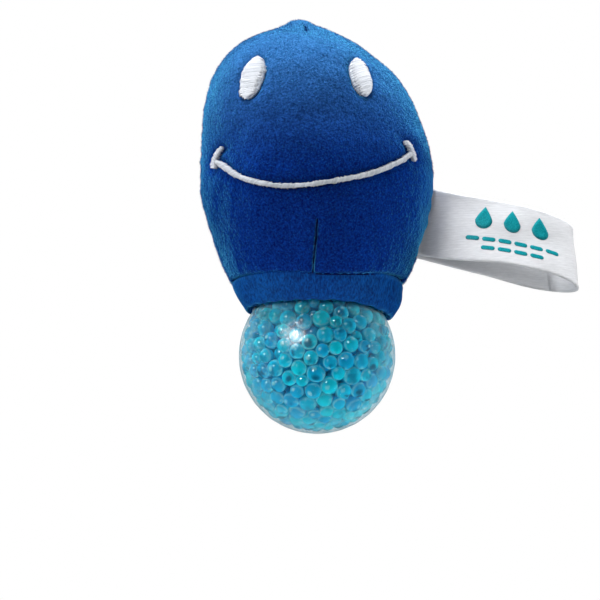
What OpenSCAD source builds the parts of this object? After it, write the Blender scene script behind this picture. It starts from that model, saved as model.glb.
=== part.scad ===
// Plush stress ball with a gel-bead ball that bulges out of a cuffed opening when it is squeezed.
// +Z runs up the ball's axis and the face looks towards -Y. The origin is the middle of the plush
// body, where a hand closes round it. Shapes are written from the mouth plane and lowered into place.

/* [Cover] */
// Height of the grip centre above the mouth plane
grip_h = 42; // [38:0.5:46]
// Thickness of the plush with its backing
plush_t = 2; // [1.6:0.1:2.2]
// Thickness of the plush where it is pressed flat in the cuff seam
plush_edge_t = 0.9; // [0.6:0.1:0.9]
// Gap between the two panels, filled by the side seam thread
seam_gap = 0.9; // [0.8:0.1:1.2]
// Diameter of the sewing thread
thread_d = 0.6; // [0.4:0.1:0.7]

/* [Cuff] */
// Height of the cuff
cuff_h = 7.8; // [6:0.2:8]
// Outer radius of the cuff at its seam
cuff_top_r = 25.6; // [25:0.1:26]
// Outer radius of the cuff just above the hem
cuff_low_r = 21.8; // [21.4:0.1:22]
// Thickness of the cuff's turned fabric
cuff_t = 1.4; // [1.2:0.1:1.6]
// Radius of the rolled hem
hem_r = 1.3; // [1.1:0.1:1.4]
// Radius of the elastic inside the hem
elastic_r = 0.6; // [0.4:0.1:0.7]

/* [Gel ball] */
// Radius of the bulge outside the mouth
bulge_r = 23.6; // [23:0.1:23.7]
// Depth of the bulge's centre below the mouth plane
bulge_drop = 13.3; // [13.2:0.1:14]
// Radius of the ball's waist in the cuff
waist_r = 19.6; // [19:0.1:19.7]
// Radius of the part of the ball inside the cover
lobe_r = 21.5; // [21:0.1:21.6]
// Height of the inner lobe's centre above the mouth plane
lobe_h = 22; // [20:0.5:22]
// Thickness of the rubber skin
skin_t = 0.8; // [0.6:0.1:1]
// Diameter of one gel bead
bead_d = 4.8; // [4:0.1:4.9]
// Number of beads that would cover the whole bulge
bead_count = 165; // [100:5:165]

/* [Inner pouch] */
// Inner radius of the pouch where the bulge passes
pouch_r = 24.2; // [24.1:0.1:24.3]
// Inner radius of the pouch's domed end
pouch_dome_r = 22.4; // [22.2:0.1:22.6]
// Height of the centre of the domed end
pouch_dome_h = 56.5; // [56.3:0.1:56.8]
// Thickness of the pouch fabric
pouch_t = 0.6; // [0.4:0.1:0.6]

/* [Face] */
// Width of the smile's stitched line
smile_w = 1.8; // [1.4:0.1:2.2]
// Height that the stitches stand above the plush
stitch_h = 0.8; // [0.5:0.1:1]

/* [Tag] */
// Width of the satin ribbon
ribbon_w = 21; // [18:1:24]
// Length of the loop from its seam to its fold
loop_l = 46.5; // [40:0.5:50]
// Half of the widest gap between the loop's layers
loop_gap = 6.2; // [5:0.1:6.4]
// Thickness of the ribbon
ribbon_t = 0.4; // [0.3:0.05:0.5]
// Twist of the loop between its seam and its fold, in degrees
tag_roll = 20; // [0:1:20]
// Droop of the loop below the horizontal, in degrees
tag_droop = 13; // [5:1:20]
// Length of the small label inside the loop
label_l = 38; // [30:1:39]
// Width of the small label
label_w = 20; // [16:1:21]

/* [Hidden] */
$fn = 64;

// Cover outline from the cuff seam to the pinched tip: height, left side, right side, half depth
outline = [
    [8.6, -25.5, 26.1, 25.8],
    [15, -29.5, 29.8, 29],
    [25, -33, 33, 32.3],
    [35, -35.2, 35.1, 34],
    [45, -35.5, 35.2, 34.3],
    [55, -35.1, 33, 33.3],
    [65, -34.2, 29.2, 31],
    [72, -32.6, 24.8, 28],
    [77.5, -29.8, 19.4, 24],
    [81.8, -26, 13.9, 19.5],
    [84.6, -21.5, 9.6, 15.5],
    [86.8, -15.4, 4.8, 11],
    [88.9, -10, -0.8, 5.5],
    [90.4, -6.4, -4.2, 1.4]
];
outline_end = len(outline) - 1;
cover_rows = 30;
half_columns = 20;

bulge_z = -bulge_drop;
clear = 0.3;
hem_place = [cuff_low_r - hem_r + 0.7, hem_r + 0.1];
cuff_seam_place = [cuff_top_r - 0.9, 8.2];
waist_low = 0.2;
waist_high = 3.2;
shoulder_z = 8.6;
edge_blend = 8;
stitch_edge = 0.25;
stitch_gap = 0.03;
fill_gap = 0.9;
fill_start = 14.5;
fill_clear = 0.35;
pouch_taper_h = 36;
pouch_taper_l = 12;
bead_r = bead_d / 2;
bead_ring_r = bulge_r - skin_t - clear - bead_r - 0.1;
golden_turn = 137.508;
plug_stem_r = 2;
plug_head_r = 4;
tag_root = [33.5, 0, 27.9];
along_tag = [cos(tag_droop), 0, -sin(tag_droop)];
loop_peak = 0.77;
label_share = 0.55;
label_t = 0.25;
label_drop = 1.6;
layer_start = 1.8;

// Driving points of the smile and the cheek ticks, as x and height
smile_points = [
    [-31, 42.8], [-23.8, 36.3], [-15, 32.6], [-6.5, 31.6], [4.5, 32.9], [15.8, 36], [24.4, 40.8],
    [28, 44.3]
];
left_tick_points = [[-31.9, 40.2], [-31.6, 43.3], [-30.3, 45.5], [-28.2, 46.9]];
right_tick_points = [[29, 41.6], [29.1, 44.6], [27.9, 46.5], [25.9, 47.9]];

// ---- curves ----

function mix(a, b, t) = a + (b - a) * t;
function smooth(t) = let (c = min(max(t, 0), 1)) c * c * (3 - 2 * c);

// Catmull-Rom curve through a list of points, at a position counted in points
function curve(p, k) =
    let (
        n = len(p) - 1,
        i = min(floor(k), n - 1),
        t = k - i,
        p0 = p[max(i - 1, 0)],
        p1 = p[i],
        p2 = p[i + 1],
        p3 = p[min(i + 2, n)]
    )
    0.5 * (2 * p1 + (p2 - p0) * t + (2 * p0 - 5 * p1 + 4 * p2 - p3) * t * t
        + (3 * p1 - p0 - 3 * p2 + p3) * t * t * t);

// A row of the cover, drawn in by an inset on all sides
function cover_row(k, inset) =
    let (
        c = curve(outline, k),
        mid = (c[1] + c[2]) / 2,
        half = (c[2] - c[1]) / 2,
        top = curve(outline, outline_end)[0],
        drop = inset * smooth((c[0] - 45) / (top - 45))
    )
    [c[0] - drop, mid, max(half - inset, 0.4), max(c[3] - inset, 0.4)];

function row_point(r, a) = [r[1] + r[2] * cos(a), r[3] * sin(a), r[0]];
function cover_point(k, a, inset) = row_point(cover_row(k, inset), a);

// Position along the outline of a given height, by halving
function outline_at(z, lo = 0, hi = outline_end, n = 24) =
    n == 0 ? (lo + hi) / 2 :
    let (m = (lo + hi) / 2)
    curve(outline, m)[0] < z ? outline_at(z, m, hi, n - 1) : outline_at(z, lo, m, n - 1);

// Point on the front of the cover at a given x and height, and the outward normal there
function face_point(x, z) =
    let (
        r = cover_row(outline_at(z), 0),
        q = min(max((x - r[1]) / r[2], -0.99), 0.99)
    )
    [x, -r[3] * sqrt(1 - q * q) - seam_gap / 2, z];
function unit(v) = v / norm(v);
function face_normal(x, z) =
    let (
        d = 0.4,
        across = face_point(x + d, z) - face_point(x - d, z),
        up = face_point(x, z + d) - face_point(x, z - d)
    )
    unit(cross(across, up));
function on_face(x, z, h) = face_point(x, z) + face_normal(x, z) * h;

// ---- solids from grids ----

function panel_thickness(k) =
    mix(plush_edge_t, plush_t, smooth((curve(outline, k)[0] - outline[0][0]) / edge_blend));

// Two triangles for each cell of a grid of points that is cols wide
function cell(a, b, c, d) = [[a, b, c], [a, c, d]];
function flat_list(l) = [for (a = l) for (b = a) b];

// Closed solid between an outer grid and an inner grid of the same size
module sheet_between(outer, inner) {
    rows = len(outer);
    cols = len(outer[0]);
    n = rows * cols;
    points = concat(flat_list(outer), flat_list(inner));
    outer_cells = [
        for (i = [0:rows - 2]) for (j = [0:cols - 2])
        let (a = i * cols + j)
        cell(a, a + cols, a + cols + 1, a + 1)
    ];
    inner_cells = [
        for (i = [0:rows - 2]) for (j = [0:cols - 2])
        let (a = n + i * cols + j)
        cell(a, a + 1, a + cols + 1, a + cols)
    ];
    low_edge = [for (j = [0:cols - 2]) cell(j, j + 1, n + j + 1, n + j)];
    high_edge = [
        for (j = [0:cols - 2])
        let (a = (rows - 1) * cols + j)
        cell(a, n + a, n + a + 1, a + 1)
    ];
    first_side = [
        for (i = [0:rows - 2])
        let (a = i * cols)
        cell(a, n + a, n + a + cols, a + cols)
    ];
    last_side = [
        for (i = [0:rows - 2])
        let (a = i * cols + cols - 1)
        cell(a, a + cols, n + a + cols, n + a)
    ];
    polyhedron(
        points,
        flat_list(concat(outer_cells, inner_cells, low_edge, high_edge, first_side, last_side))
    );
}

// Closed tube through rings of points, all with the same number of corners
module tube_through(rings) {
    rows = len(rings);
    cols = len(rings[0]);
    walls = [
        for (i = [0:rows - 2]) for (j = [0:cols - 1])
        let (a = i * cols + j, b = i * cols + (j + 1) % cols)
        cell(a, a + cols, b + cols, b)
    ];
    start_cap = [for (j = [1:cols - 2]) [0, j, j + 1]];
    end_first = (rows - 1) * cols;
    end_cap = [for (j = [1:cols - 2]) [end_first, end_first + j + 1, end_first + j]];
    polyhedron(flat_list(rings), concat(flat_list(walls), start_cap, end_cap));
}

module at_mouth() {
    translate([0, 0, -grip_h]) children();
}

// ---- cover ----

// One half of the cover, from one side seam over to the other; side is -1 in front and 1 behind
module cover_half(side) {
    steps = [for (i = [0:cover_rows]) outline_end * i / cover_rows];
    start = side < 0 ? 180 : 0;
    angles = [for (j = [0:half_columns]) start + 180 * j / half_columns];
    shift = [0, side * seam_gap / 2, 0];
    outer = [for (k = steps) [for (a = angles) cover_point(k, a, 0) + shift]];
    inner = [for (k = steps) [for (a = angles) cover_point(k, a, panel_thickness(k)) + shift]];
    at_mouth() sheet_between(outer, inner);
}

module front_panel() {
    color("royalblue") cover_half(-1);
}

module back_panel() {
    color("mediumblue") cover_half(1);
}

// Thread that runs up one side seam, over the tip and down the other side
module side_seam_thread() {
    rows = 24;
    depth = 0.7;
    start = outline_at(cuff_seam_place[1] + 2 * thread_d);
    right = [for (i = [0:rows]) let (r = cover_row(mix(start, outline_end, i / rows), depth))
        [r[1] + r[2], 0, r[0]]];
    left = [for (i = [rows:-1:0]) let (r = cover_row(mix(start, outline_end, i / rows), depth))
        [r[1] - r[2], 0, r[0]]];
    path = concat(right, left);
    color("navy") at_mouth() thread(path, [0, 1, 0], thread_d / 2);
}

// Thread of a given radius along a path, turned about a side direction
module thread(path, side, r, sides = 6) {
    last = len(path) - 1;
    rings = [
        for (i = [0:last])
        let (
            along = unit(path[min(i + 1, last)] - path[max(i - 1, 0)]),
            out = unit(cross(along, side)),
            wide = cross(out, along)
        )
        [for (j = [0:sides - 1])
            path[i] + r * (wide * cos(360 * j / sides) + out * sin(360 * j / sides))]
    ];
    tube_through(rings);
}

// Thread of a dart, on the inner side of a panel from one height to another
module dart_thread(side, z_low, z_high, x_low, x_high) {
    rows = 8;
    depth = plush_t + 0.45;
    path = [
        for (i = [0:rows])
        let (
            z = mix(z_low, z_high, i / rows),
            x = mix(x_low, x_high, i / rows),
            r = cover_row(outline_at(z), depth),
            q = (x - r[1]) / r[2]
        )
        [x, side * (r[3] * sqrt(1 - q * q) + seam_gap / 2), r[0]]
    ];
    color("navy") at_mouth() thread(path, [1, 0, 0], 0.25);
}

module front_dart_thread() {
    dart_thread(-1, 12.2, 21.6, -1.1, -0.2);
}

module back_dart_thread() {
    dart_thread(1, 12.2, 24, 0, 0);
}

module crown_dart_thread() {
    dart_thread(-1, 77, 82, -4, -5);
    dart_thread(1, 77, 82, -4, -5);
}

module cuff_band() {
    low = 1.2;
    color("royalblue") at_mouth() rotate_extrude() difference() {
        union() {
            polygon([
                [cuff_low_r - cuff_t, low], [cuff_low_r, low + 0.4],
                [cuff_top_r, cuff_h], [cuff_top_r - cuff_t, cuff_h]
            ]);
            translate(hem_place) circle(hem_r);
        }
        translate(hem_place) circle(elastic_r + 0.1);
    }
}

module cuff_elastic() {
    color("white") at_mouth() rotate_extrude()
        translate(hem_place) circle(elastic_r);
}

module cuff_seam_thread() {
    color("navy") at_mouth() rotate_extrude()
        translate(cuff_seam_place) circle(thread_d / 2);
}

// ---- face ----

// Domed oval of satin stitches; lean turns its top sideways
module eye(x, z, w, h, lean) {
    rings = 4;
    steps = 28;
    function spot(i, j, lift) =
        let (
            r = i / rings,
            a = 360 * j / steps,
            u = r * w / 2 * cos(a),
            v = r * h / 2 * sin(a),
            px = x + u * cos(lean) + v * sin(lean),
            pz = z - u * sin(lean) + v * cos(lean)
        )
        on_face(px, pz, lift);
    top = [for (i = [1:rings]) [for (j = [0:steps - 1])
        spot(i, j, stitch_edge + stitch_h * sqrt(1 - pow(i / rings, 2)))]];
    low = [for (i = [1:rings]) [for (j = [0:steps - 1]) spot(i, j, stitch_gap)]];
    n = rings * steps;
    points = concat(
        flat_list(top), flat_list(low), [spot(0, 0, stitch_edge + stitch_h)], [spot(0, 0, stitch_gap)]
    );
    top_cells = [for (i = [0:rings - 2]) for (j = [0:steps - 1])
        let (a = i * steps + j, b = i * steps + (j + 1) % steps)
        cell(a, b, b + steps, a + steps)];
    low_cells = [for (i = [0:rings - 2]) for (j = [0:steps - 1])
        let (a = n + i * steps + j, b = n + i * steps + (j + 1) % steps)
        cell(a, a + steps, b + steps, b)];
    rim = [for (j = [0:steps - 1])
        let (a = (rings - 1) * steps + j, b = (rings - 1) * steps + (j + 1) % steps)
        cell(a, b, n + b, n + a)];
    top_fan = [for (j = [0:steps - 1]) [2 * n, (j + 1) % steps, j]];
    low_fan = [for (j = [0:steps - 1]) [2 * n + 1, n + j, n + (j + 1) % steps]];
    polyhedron(points, concat(flat_list(concat(top_cells, low_cells, rim)), top_fan, low_fan));
}

module left_eye() {
    color("white") at_mouth() eye(-19.2, 65.9, 6.7, 13.8, 15);
}

module right_eye() {
    color("white") at_mouth() eye(13.1, 66.2, 6.4, 12.6, -16);
}

// Raised line of stitches along points on the face, given as x and height
module stitched_line(p, w, steps) {
    last = len(p) - 1;
    rings = [
        for (i = [0:steps])
        let (
            k = last * i / steps,
            c = curve(p, k),
            c0 = curve(p, max(k - 0.02, 0)),
            c1 = curve(p, min(k + 0.02, last)),
            along = unit(face_point(c1[0], c1[1]) - face_point(c0[0], c0[1])),
            out = face_normal(c[0], c[1]),
            wide = unit(cross(out, along)),
            base = face_point(c[0], c[1])
        )
        [
            base + wide * w / 2 + out * 2 * stitch_gap,
            base + wide * w / 2.4 + out * 0.5 * stitch_h,
            base + out * stitch_h,
            base - wide * w / 2.4 + out * 0.5 * stitch_h,
            base - wide * w / 2 + out * 2 * stitch_gap
        ]
    ];
    tube_through(rings);
}

module smile_line() {
    color("white") at_mouth() stitched_line(smile_points, smile_w, 40);
}

module left_cheek_tick() {
    color("white") at_mouth() stitched_line(left_tick_points, smile_w, 10);
}

module right_cheek_tick() {
    color("white") at_mouth() stitched_line(right_tick_points, smile_w, 10);
}

// ---- inside the cover ----

// Radius of the pouch's wall at a height, grown by an extra thickness
function pouch_wall(z, extra) =
    extra + mix(pouch_r, pouch_dome_r, min(max((z - pouch_taper_h) / pouch_taper_l, 0), 1));

// Half outline of the pouch grown by an extra thickness: straight wall, short taper and dome
module pouch_outline(low, extra) {
    intersection() {
        union() {
            polygon([
                [0, low], [pouch_wall(low, extra), low],
                [pouch_wall(pouch_taper_h, extra), pouch_taper_h],
                [pouch_wall(pouch_dome_h, extra), pouch_taper_h + pouch_taper_l],
                [pouch_wall(pouch_dome_h, extra), pouch_dome_h], [0, pouch_dome_h]
            ]);
            translate([0, pouch_dome_h]) circle(pouch_dome_r + extra);
        }
        translate([0, low]) square([60, 140]);
    }
}

module inner_pouch() {
    low = 9.6;
    color("lightsteelblue") at_mouth() rotate_extrude() difference() {
        pouch_outline(low, pouch_t);
        pouch_outline(low - 1, 0);
    }
}

// Fibre between the pouch and the panels: the cover's shape drawn in, over a domed hollow
module fibre_fill() {
    steps = 40;
    extra = pouch_t + fill_clear;
    dome_r = pouch_dome_r + extra;
    start = outline_at(fill_start);
    rows = 18;
    wall = [
        for (i = [0:rows])
        let (r = cover_row(mix(start, outline_end, i / rows), plush_t + fill_gap))
        [for (j = [0:steps - 1]) row_point(r, 360 * j / steps)]
    ];
    dome_rows = 8;
    function ring(r, z) = [for (j = [0:steps - 1])
        [r * cos(360 * j / steps), r * sin(360 * j / steps), z]];
    hollow = concat(
        [for (z = [fill_start, pouch_taper_h, pouch_taper_h + pouch_taper_l, pouch_dome_h])
            ring(pouch_wall(z, extra), z)],
        [for (i = [1:dome_rows - 1])
            let (e = 90 * i / dome_rows)
            ring(dome_r * cos(e), pouch_dome_h + dome_r * sin(e))]
    );
    n = (rows + 1) * steps;
    hollow_rows = len(hollow);
    wall_cells = [for (i = [0:rows - 1]) for (j = [0:steps - 1])
        let (a = i * steps + j, b = i * steps + (j + 1) % steps)
        cell(a, a + steps, b + steps, b)];
    hollow_cells = [for (i = [0:hollow_rows - 2]) for (j = [0:steps - 1])
        let (a = n + i * steps + j, b = n + i * steps + (j + 1) % steps)
        cell(a, b, b + steps, a + steps)];
    rim = [for (j = [0:steps - 1])
        let (k = (j + 1) % steps)
        cell(j, k, n + k, n + j)];
    tip = n + hollow_rows * steps;
    wall_fan = [for (j = [0:steps - 1])
        [tip, rows * steps + (j + 1) % steps, rows * steps + j]];
    hollow_last = n + (hollow_rows - 1) * steps;
    hollow_fan = [for (j = [0:steps - 1])
        [tip + 1, hollow_last + j, hollow_last + (j + 1) % steps]];
    top = cover_row(outline_end, plush_t + fill_gap);
    points = concat(
        flat_list(wall), flat_list(hollow),
        [[top[1], 0, top[0]]], [[0, 0, pouch_dome_h + dome_r]]
    );
    color("white") at_mouth() polyhedron(
        points,
        concat(flat_list(concat(wall_cells, hollow_cells, rim)), wall_fan, hollow_fan)
    );
}

// ---- gel ball ----

// Half outline of the gel ball, drawn in by an inset: bulge, waist in the cuff and inner lobe
module ball_outline(inset) {
    intersection() {
        union() {
            translate([0, bulge_z]) circle(bulge_r - inset);
            polygon([
                [0, bulge_z], [waist_r - inset, waist_low], [waist_r - inset, waist_high],
                [lobe_r - inset, shoulder_z], [lobe_r - inset, lobe_h], [0, lobe_h]
            ]);
            translate([0, lobe_h]) circle(lobe_r - inset);
        }
        translate([0, -60]) square([60, 140]);
    }
}

module ball_skin() {
    color("azure", 0.4) at_mouth() difference() {
        rotate_extrude() difference() {
            ball_outline(0);
            ball_outline(skin_t);
        }
        translate([0, 0, lobe_h]) cylinder(h = 60, r = plug_stem_r + 0.1);
    }
}

module ball_plug() {
    pole = lobe_h + lobe_r;
    color("aliceblue") at_mouth() union() {
        translate([0, 0, pole - skin_t]) cylinder(h = skin_t + 0.3, r = plug_stem_r);
        translate([0, 0, pole + 0.1]) cylinder(h = 0.7, r = plug_head_r);
    }
}

// Beads that touch the skin of the bulge, spread evenly over it below the mouth
module bead_layer() {
    color("darkturquoise") at_mouth() for (i = [0:bead_count - 1]) {
        up = 1 - 2 * (i + 0.5) / bead_count;
        z = bulge_z + bead_ring_r * up;
        flat_r = bead_ring_r * sqrt(1 - up * up);
        if (z < -bead_r - clear)
            translate([flat_r * cos(golden_turn * i), flat_r * sin(golden_turn * i), z])
                sphere(bead_r, $fn = 24);
    }
}

// Packed beads and water behind the outer layer and up through the inner lobe
module bead_core() {
    inset = skin_t + clear;
    color("darkcyan") at_mouth() rotate_extrude() intersection() {
        union() {
            translate([0, bulge_z]) circle(bead_ring_r - bead_r - clear);
            intersection() {
                ball_outline(inset);
                translate([0, waist_low]) square([60, 60]);
            }
        }
        translate([0, -60]) square([60, 140]);
    }
}

// ---- tag ----

// Half gap of the loop at a distance along it
function half_gap(s) =
    let (a = acos(1 - 2 * min(max(s / loop_l, 0), 1)))
    loop_gap / loop_peak * sin(a) * sin(a / 2);

// Point of the tag: distance from the seam, offset to the back, place across the ribbon.
// The ribbon stands square to its droop at the seam and upright at its fold
function tag_point(s, n, w) =
    let (
        roll = tag_roll * smooth(2.2 * s / loop_l),
        tilt = tag_droop * (1 - 1.2 * smooth(s / loop_l)),
        across = [sin(tilt), 0, cos(tilt)],
        wide = across * cos(roll) + [0, sin(roll), 0],
        back = [0, cos(roll), 0] - across * sin(roll)
    )
    tag_root + along_tag * s + back * n + wide * w;

// Strip of ribbon through places given as distance and offset
module ribbon(path, w, t, drop = 0) {
    last = len(path) - 1;
    rings = [
        for (i = [0:last])
        let (
            d = path[min(i + 1, last)] - path[max(i - 1, 0)],
            out = unit([d[1], -d[0]]) * t / 2,
            a = path[i] + out,
            b = path[i] - out
        )
        [
            tag_point(a[0], a[1], w / 2 - drop), tag_point(b[0], b[1], w / 2 - drop),
            tag_point(b[0], b[1], -w / 2 - drop), tag_point(a[0], a[1], -w / 2 - drop)
        ]
    ];
    tube_through(rings);
}

function loop_place(a) =
    [loop_l / 2 * (1 - cos(a)), -loop_gap / loop_peak * sin(a) * sin(a / 2)];
loop_first = acos(1 - 2 * layer_start / loop_l);

module loop_tag() {
    steps = 44;
    path = [for (i = [0:steps]) loop_place(mix(loop_first, 360 - loop_first, i / steps))];
    color("whitesmoke") at_mouth() ribbon(path, ribbon_w, ribbon_t);
}

// Thin printed patch on the front of the loop, from an outline of distance and place across
module print_patch(shape, s, w) {
    film = 0.06;
    lift = 0.05 + ribbon_t / 2;
    function spot(q, h) =
        let (p = q + [s, w], g = -half_gap(p[0]), d = 0.2,
            slope = (-half_gap(p[0] + d) + half_gap(p[0] - d)) / (2 * d),
            out = unit([slope, -1]) * h)
        tag_point(p[0] + out[0], g + out[1], p[1]);
    tube_through([[for (q = shape) spot(q, lift)], [for (q = shape) spot(q, lift + film)]]);
}

function oval(rx, ry, n = 20) = [for (i = [0:n - 1]) [rx * cos(360 * i / n), ry * sin(360 * i / n)]];
function drop_shape(r, n = 20) = [
    for (i = [0:n - 1])
    let (a = 360 * i / n)
    [r * cos(a) * pow(sin(a / 2 + 45), 1.2), -r * 0.3 - r * 1.25 * sin(a)]
];
function bar(l, h) = [[-l / 2, -h / 2], [l / 2, -h / 2], [l / 2, h / 2], [-l / 2, h / 2]];

// Three plain water drops over two plain bars
module tag_print() {
    color("teal") at_mouth() {
        for (s = [18, 26, 34]) print_patch(oval(1.9, 2.5), s, 4);
        for (i = [0:5]) print_patch(bar(3.8, 1), 15.6 + 4.1 * i, -2.4);
        for (i = [0:3]) print_patch(bar(3.8, 1), 19.7 + 4.1 * i, -5.4);
    }
}

function label_path(steps) = [
    for (i = [0:steps])
    let (s = mix(layer_start + 0.4, label_l, i / steps))
    [s, label_share * (half_gap(s) - half_gap(layer_start))]
];

module care_label() {
    color("white") at_mouth() ribbon(label_path(16), label_w, label_t, label_drop);
}

// Plain bars on the back of the small label
module care_print() {
    function offset_at(s) = label_share * (half_gap(s) - half_gap(layer_start)) + 0.17;
    color("lightpink") at_mouth() for (w = [-5, -1, 3])
        for (s = [16, 20, 24])
            tube_through([
                for (h = [0, 0.05])
                [for (q = bar(3.6, 1.2))
                    tag_point(s + q[0], offset_at(s + q[0]) + 0.04 + h, w - label_drop + q[1])]
            ]);
}

front_panel();
back_panel();
side_seam_thread();
front_dart_thread();
back_dart_thread();
crown_dart_thread();
cuff_band();
cuff_elastic();
cuff_seam_thread();
left_eye();
right_eye();
smile_line();
left_cheek_tick();
right_cheek_tick();
inner_pouch();
fibre_fill();
ball_skin();
ball_plug();
bead_layer();
bead_core();
loop_tag();
tag_print();
care_label();
care_print();
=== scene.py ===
import math

import bpy
import numpy as np
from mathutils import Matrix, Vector
from mathutils.bvhtree import BVHTree


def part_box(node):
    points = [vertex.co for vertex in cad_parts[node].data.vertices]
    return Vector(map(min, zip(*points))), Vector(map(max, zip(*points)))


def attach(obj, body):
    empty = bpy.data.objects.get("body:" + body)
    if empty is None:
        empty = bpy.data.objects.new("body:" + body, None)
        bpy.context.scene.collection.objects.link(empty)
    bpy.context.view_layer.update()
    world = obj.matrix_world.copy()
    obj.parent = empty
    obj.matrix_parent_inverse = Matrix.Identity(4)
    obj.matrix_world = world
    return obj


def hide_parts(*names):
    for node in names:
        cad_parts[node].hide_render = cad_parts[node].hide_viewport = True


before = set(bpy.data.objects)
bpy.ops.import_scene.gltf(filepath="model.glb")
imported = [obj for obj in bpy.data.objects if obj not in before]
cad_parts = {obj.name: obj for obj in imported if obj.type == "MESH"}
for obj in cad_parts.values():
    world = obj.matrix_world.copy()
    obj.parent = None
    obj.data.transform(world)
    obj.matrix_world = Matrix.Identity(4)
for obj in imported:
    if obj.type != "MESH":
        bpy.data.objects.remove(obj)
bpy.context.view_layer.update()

# Shapes are written in millimetres above the mouth of the cuff and lowered into the row frame
MM = 0.001
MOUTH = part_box("cuff_band")[0][2] - 0.0001
SEAM_HALF = 0.45
rng = np.random.default_rng(7)


# ---------------------------------------------------------------- meshes

def to_row(points):
    p = np.asarray(points, float) * MM
    p[:, 2] += MOUTH
    return p


def add_object(name, data):
    ob = bpy.data.objects.new(name, data)
    bpy.context.collection.objects.link(ob)
    return ob


def inside_out(me):
    """Whether a closed mesh faces inwards, told by the sign of its volume."""
    me.calc_loop_triangles()
    corners = np.empty(len(me.loop_triangles) * 3, np.int32)
    me.loop_triangles.foreach_get("vertices", corners)
    places = np.empty(len(me.vertices) * 3, np.float32)
    me.vertices.foreach_get("co", places)
    a, b, c = places.astype(float).reshape(-1, 3)[corners.reshape(-1, 3)].transpose(1, 0, 2)
    return (a * np.cross(b, c)).sum() < 0


def make(name, points, faces, mat, body, slot, smooth=True):
    """A mesh piece from points in millimetres, riding on a body."""
    me = bpy.data.meshes.new(name)
    me.from_pydata(to_row(points).tolist(), [], [tuple(int(i) for i in f) for f in faces])
    me.validate()
    if inside_out(me):
        me.flip_normals()
    if smooth:
        me.polygons.foreach_set("use_smooth", [True] * len(me.polygons))
    me.update()
    ob = add_object(name, me)
    me.materials.append(mat)
    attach(ob, body)
    return ob


def grid_faces(rows, cols, first=0, wrap=False, flip=False):
    """Quads between neighbouring rows of a grid of points."""
    i, j = np.meshgrid(np.arange(rows - 1), np.arange(cols if wrap else cols - 1), indexing="ij")
    a = first + i * cols + j
    b = first + i * cols + (j + 1) % cols
    q = np.stack([a, b, b + cols, a + cols], -1).reshape(-1, 4)
    return (q[:, ::-1] if flip else q).tolist()


def shell_faces(rows, cols, flip=False):
    """Faces of a thin closed solid: an outer grid, an inner grid after it, and the rim between."""
    count = rows * cols
    faces = grid_faces(rows, cols, flip=flip) + grid_faces(rows, cols, count, flip=not flip)
    loop = (list(range(cols)) + [i * cols + cols - 1 for i in range(1, rows)]
            + [(rows - 1) * cols + j for j in range(cols - 2, -1, -1)]
            + [i * cols for i in range(rows - 2, 0, -1)])
    for a, b in zip(loop, loop[1:] + loop[:1]):
        quad = (a, count + a, count + b, b)
        faces.append(quad[::-1] if flip else quad)
    return faces


class Pile:
    """Gathers many small closed shapes into one mesh."""

    def __init__(self):
        self.points, self.faces, self.count = [], [], 0

    def add(self, points, faces):
        self.points.append(np.asarray(points, float))
        self.faces.extend([tuple(int(i) + self.count for i in f) for f in faces])
        self.count += len(points)

    def mesh(self):
        return np.concatenate(self.points), self.faces


def unit(v):
    v = np.asarray(v, float)
    return v / np.maximum(np.linalg.norm(v, axis=-1, keepdims=True), 1e-12)


def tube_faces(rows, sides):
    """Walls and end caps of a tube of rings."""
    faces = grid_faces(rows, sides, wrap=True)
    faces.append(tuple(range(sides))[::-1])
    faces.append(tuple((rows - 1) * sides + k for k in range(sides)))
    return faces


def ball(scale, turns, rows):
    """A smooth ball round the origin, as rings between two poles."""
    e = np.linspace(-90, 90, rows + 1)[1:-1] * math.pi / 180
    a = round_angles(turns)
    ring = np.stack([
        np.outer(np.cos(e), np.cos(a)), np.outer(np.cos(e), np.sin(a)),
        np.outer(np.sin(e), np.ones(turns))], -1).reshape(-1, 3)
    pts = np.concatenate([ring, [[0, 0, -1], [0, 0, 1]]]) * scale
    n = len(ring)
    faces = grid_faces(rows - 1, turns, wrap=True)
    for k in range(turns):
        faces.append((n, (k + 1) % turns, k))
        faces.append((n + 1, n - turns + k, n - turns + (k + 1) % turns))
    return pts, faces


def ripple(p, length, seed, waves=18):
    """Smooth irregular height between about -1 and 1, with bumps of the given length."""
    r = np.random.default_rng(seed)
    d = unit(r.normal(size=(waves, 3))) * (2 * math.pi / length) * r.uniform(0.6, 1.5, (waves, 1))
    phase = r.uniform(0, 2 * math.pi, waves)
    return np.sin(np.asarray(p) @ d.T + phase).sum(-1) / math.sqrt(waves)


def round_angles(count):
    """Angles evenly spaced round a circle."""
    return np.arange(count) * 2 * math.pi / count


def run_of(path):
    """Distance run along a path, at each of its points."""
    return np.concatenate([[0], np.cumsum(np.linalg.norm(np.diff(path, axis=0), axis=1))])


def at_run(path, run, want):
    """Points of a path at wanted distances along it."""
    return np.stack([np.interp(want, run, path[:, k]) for k in range(path.shape[1])], -1)


def bell(x, width):
    """1 at x = 0, falling smoothly to 0 on both sides."""
    return np.exp(-(x / width) ** 2)


def spline(p, t):
    """Catmull-Rom curve through points, at places counted in points."""
    p = np.asarray(p, float)
    t = np.atleast_1d(np.asarray(t, float))
    i = np.clip(np.floor(t).astype(int), 0, len(p) - 2)
    f = (t - i)[:, None]
    p0, p1, p2, p3 = p[np.maximum(i - 1, 0)], p[i], p[i + 1], p[np.minimum(i + 2, len(p) - 1)]
    return 0.5 * (2 * p1 + (p2 - p0) * f + (2 * p0 - 5 * p1 + 4 * p2 - p3) * f ** 2
                  + (3 * p1 - p0 - 3 * p2 + p3) * f ** 3)


def even(p, n, sub=40):
    """n points evenly spaced along the spline through p."""
    q = spline(p, np.linspace(0, len(p) - 1, sub * len(p)))
    run = run_of(q)
    return at_run(q, run, np.linspace(0, run[-1], n))


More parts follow.
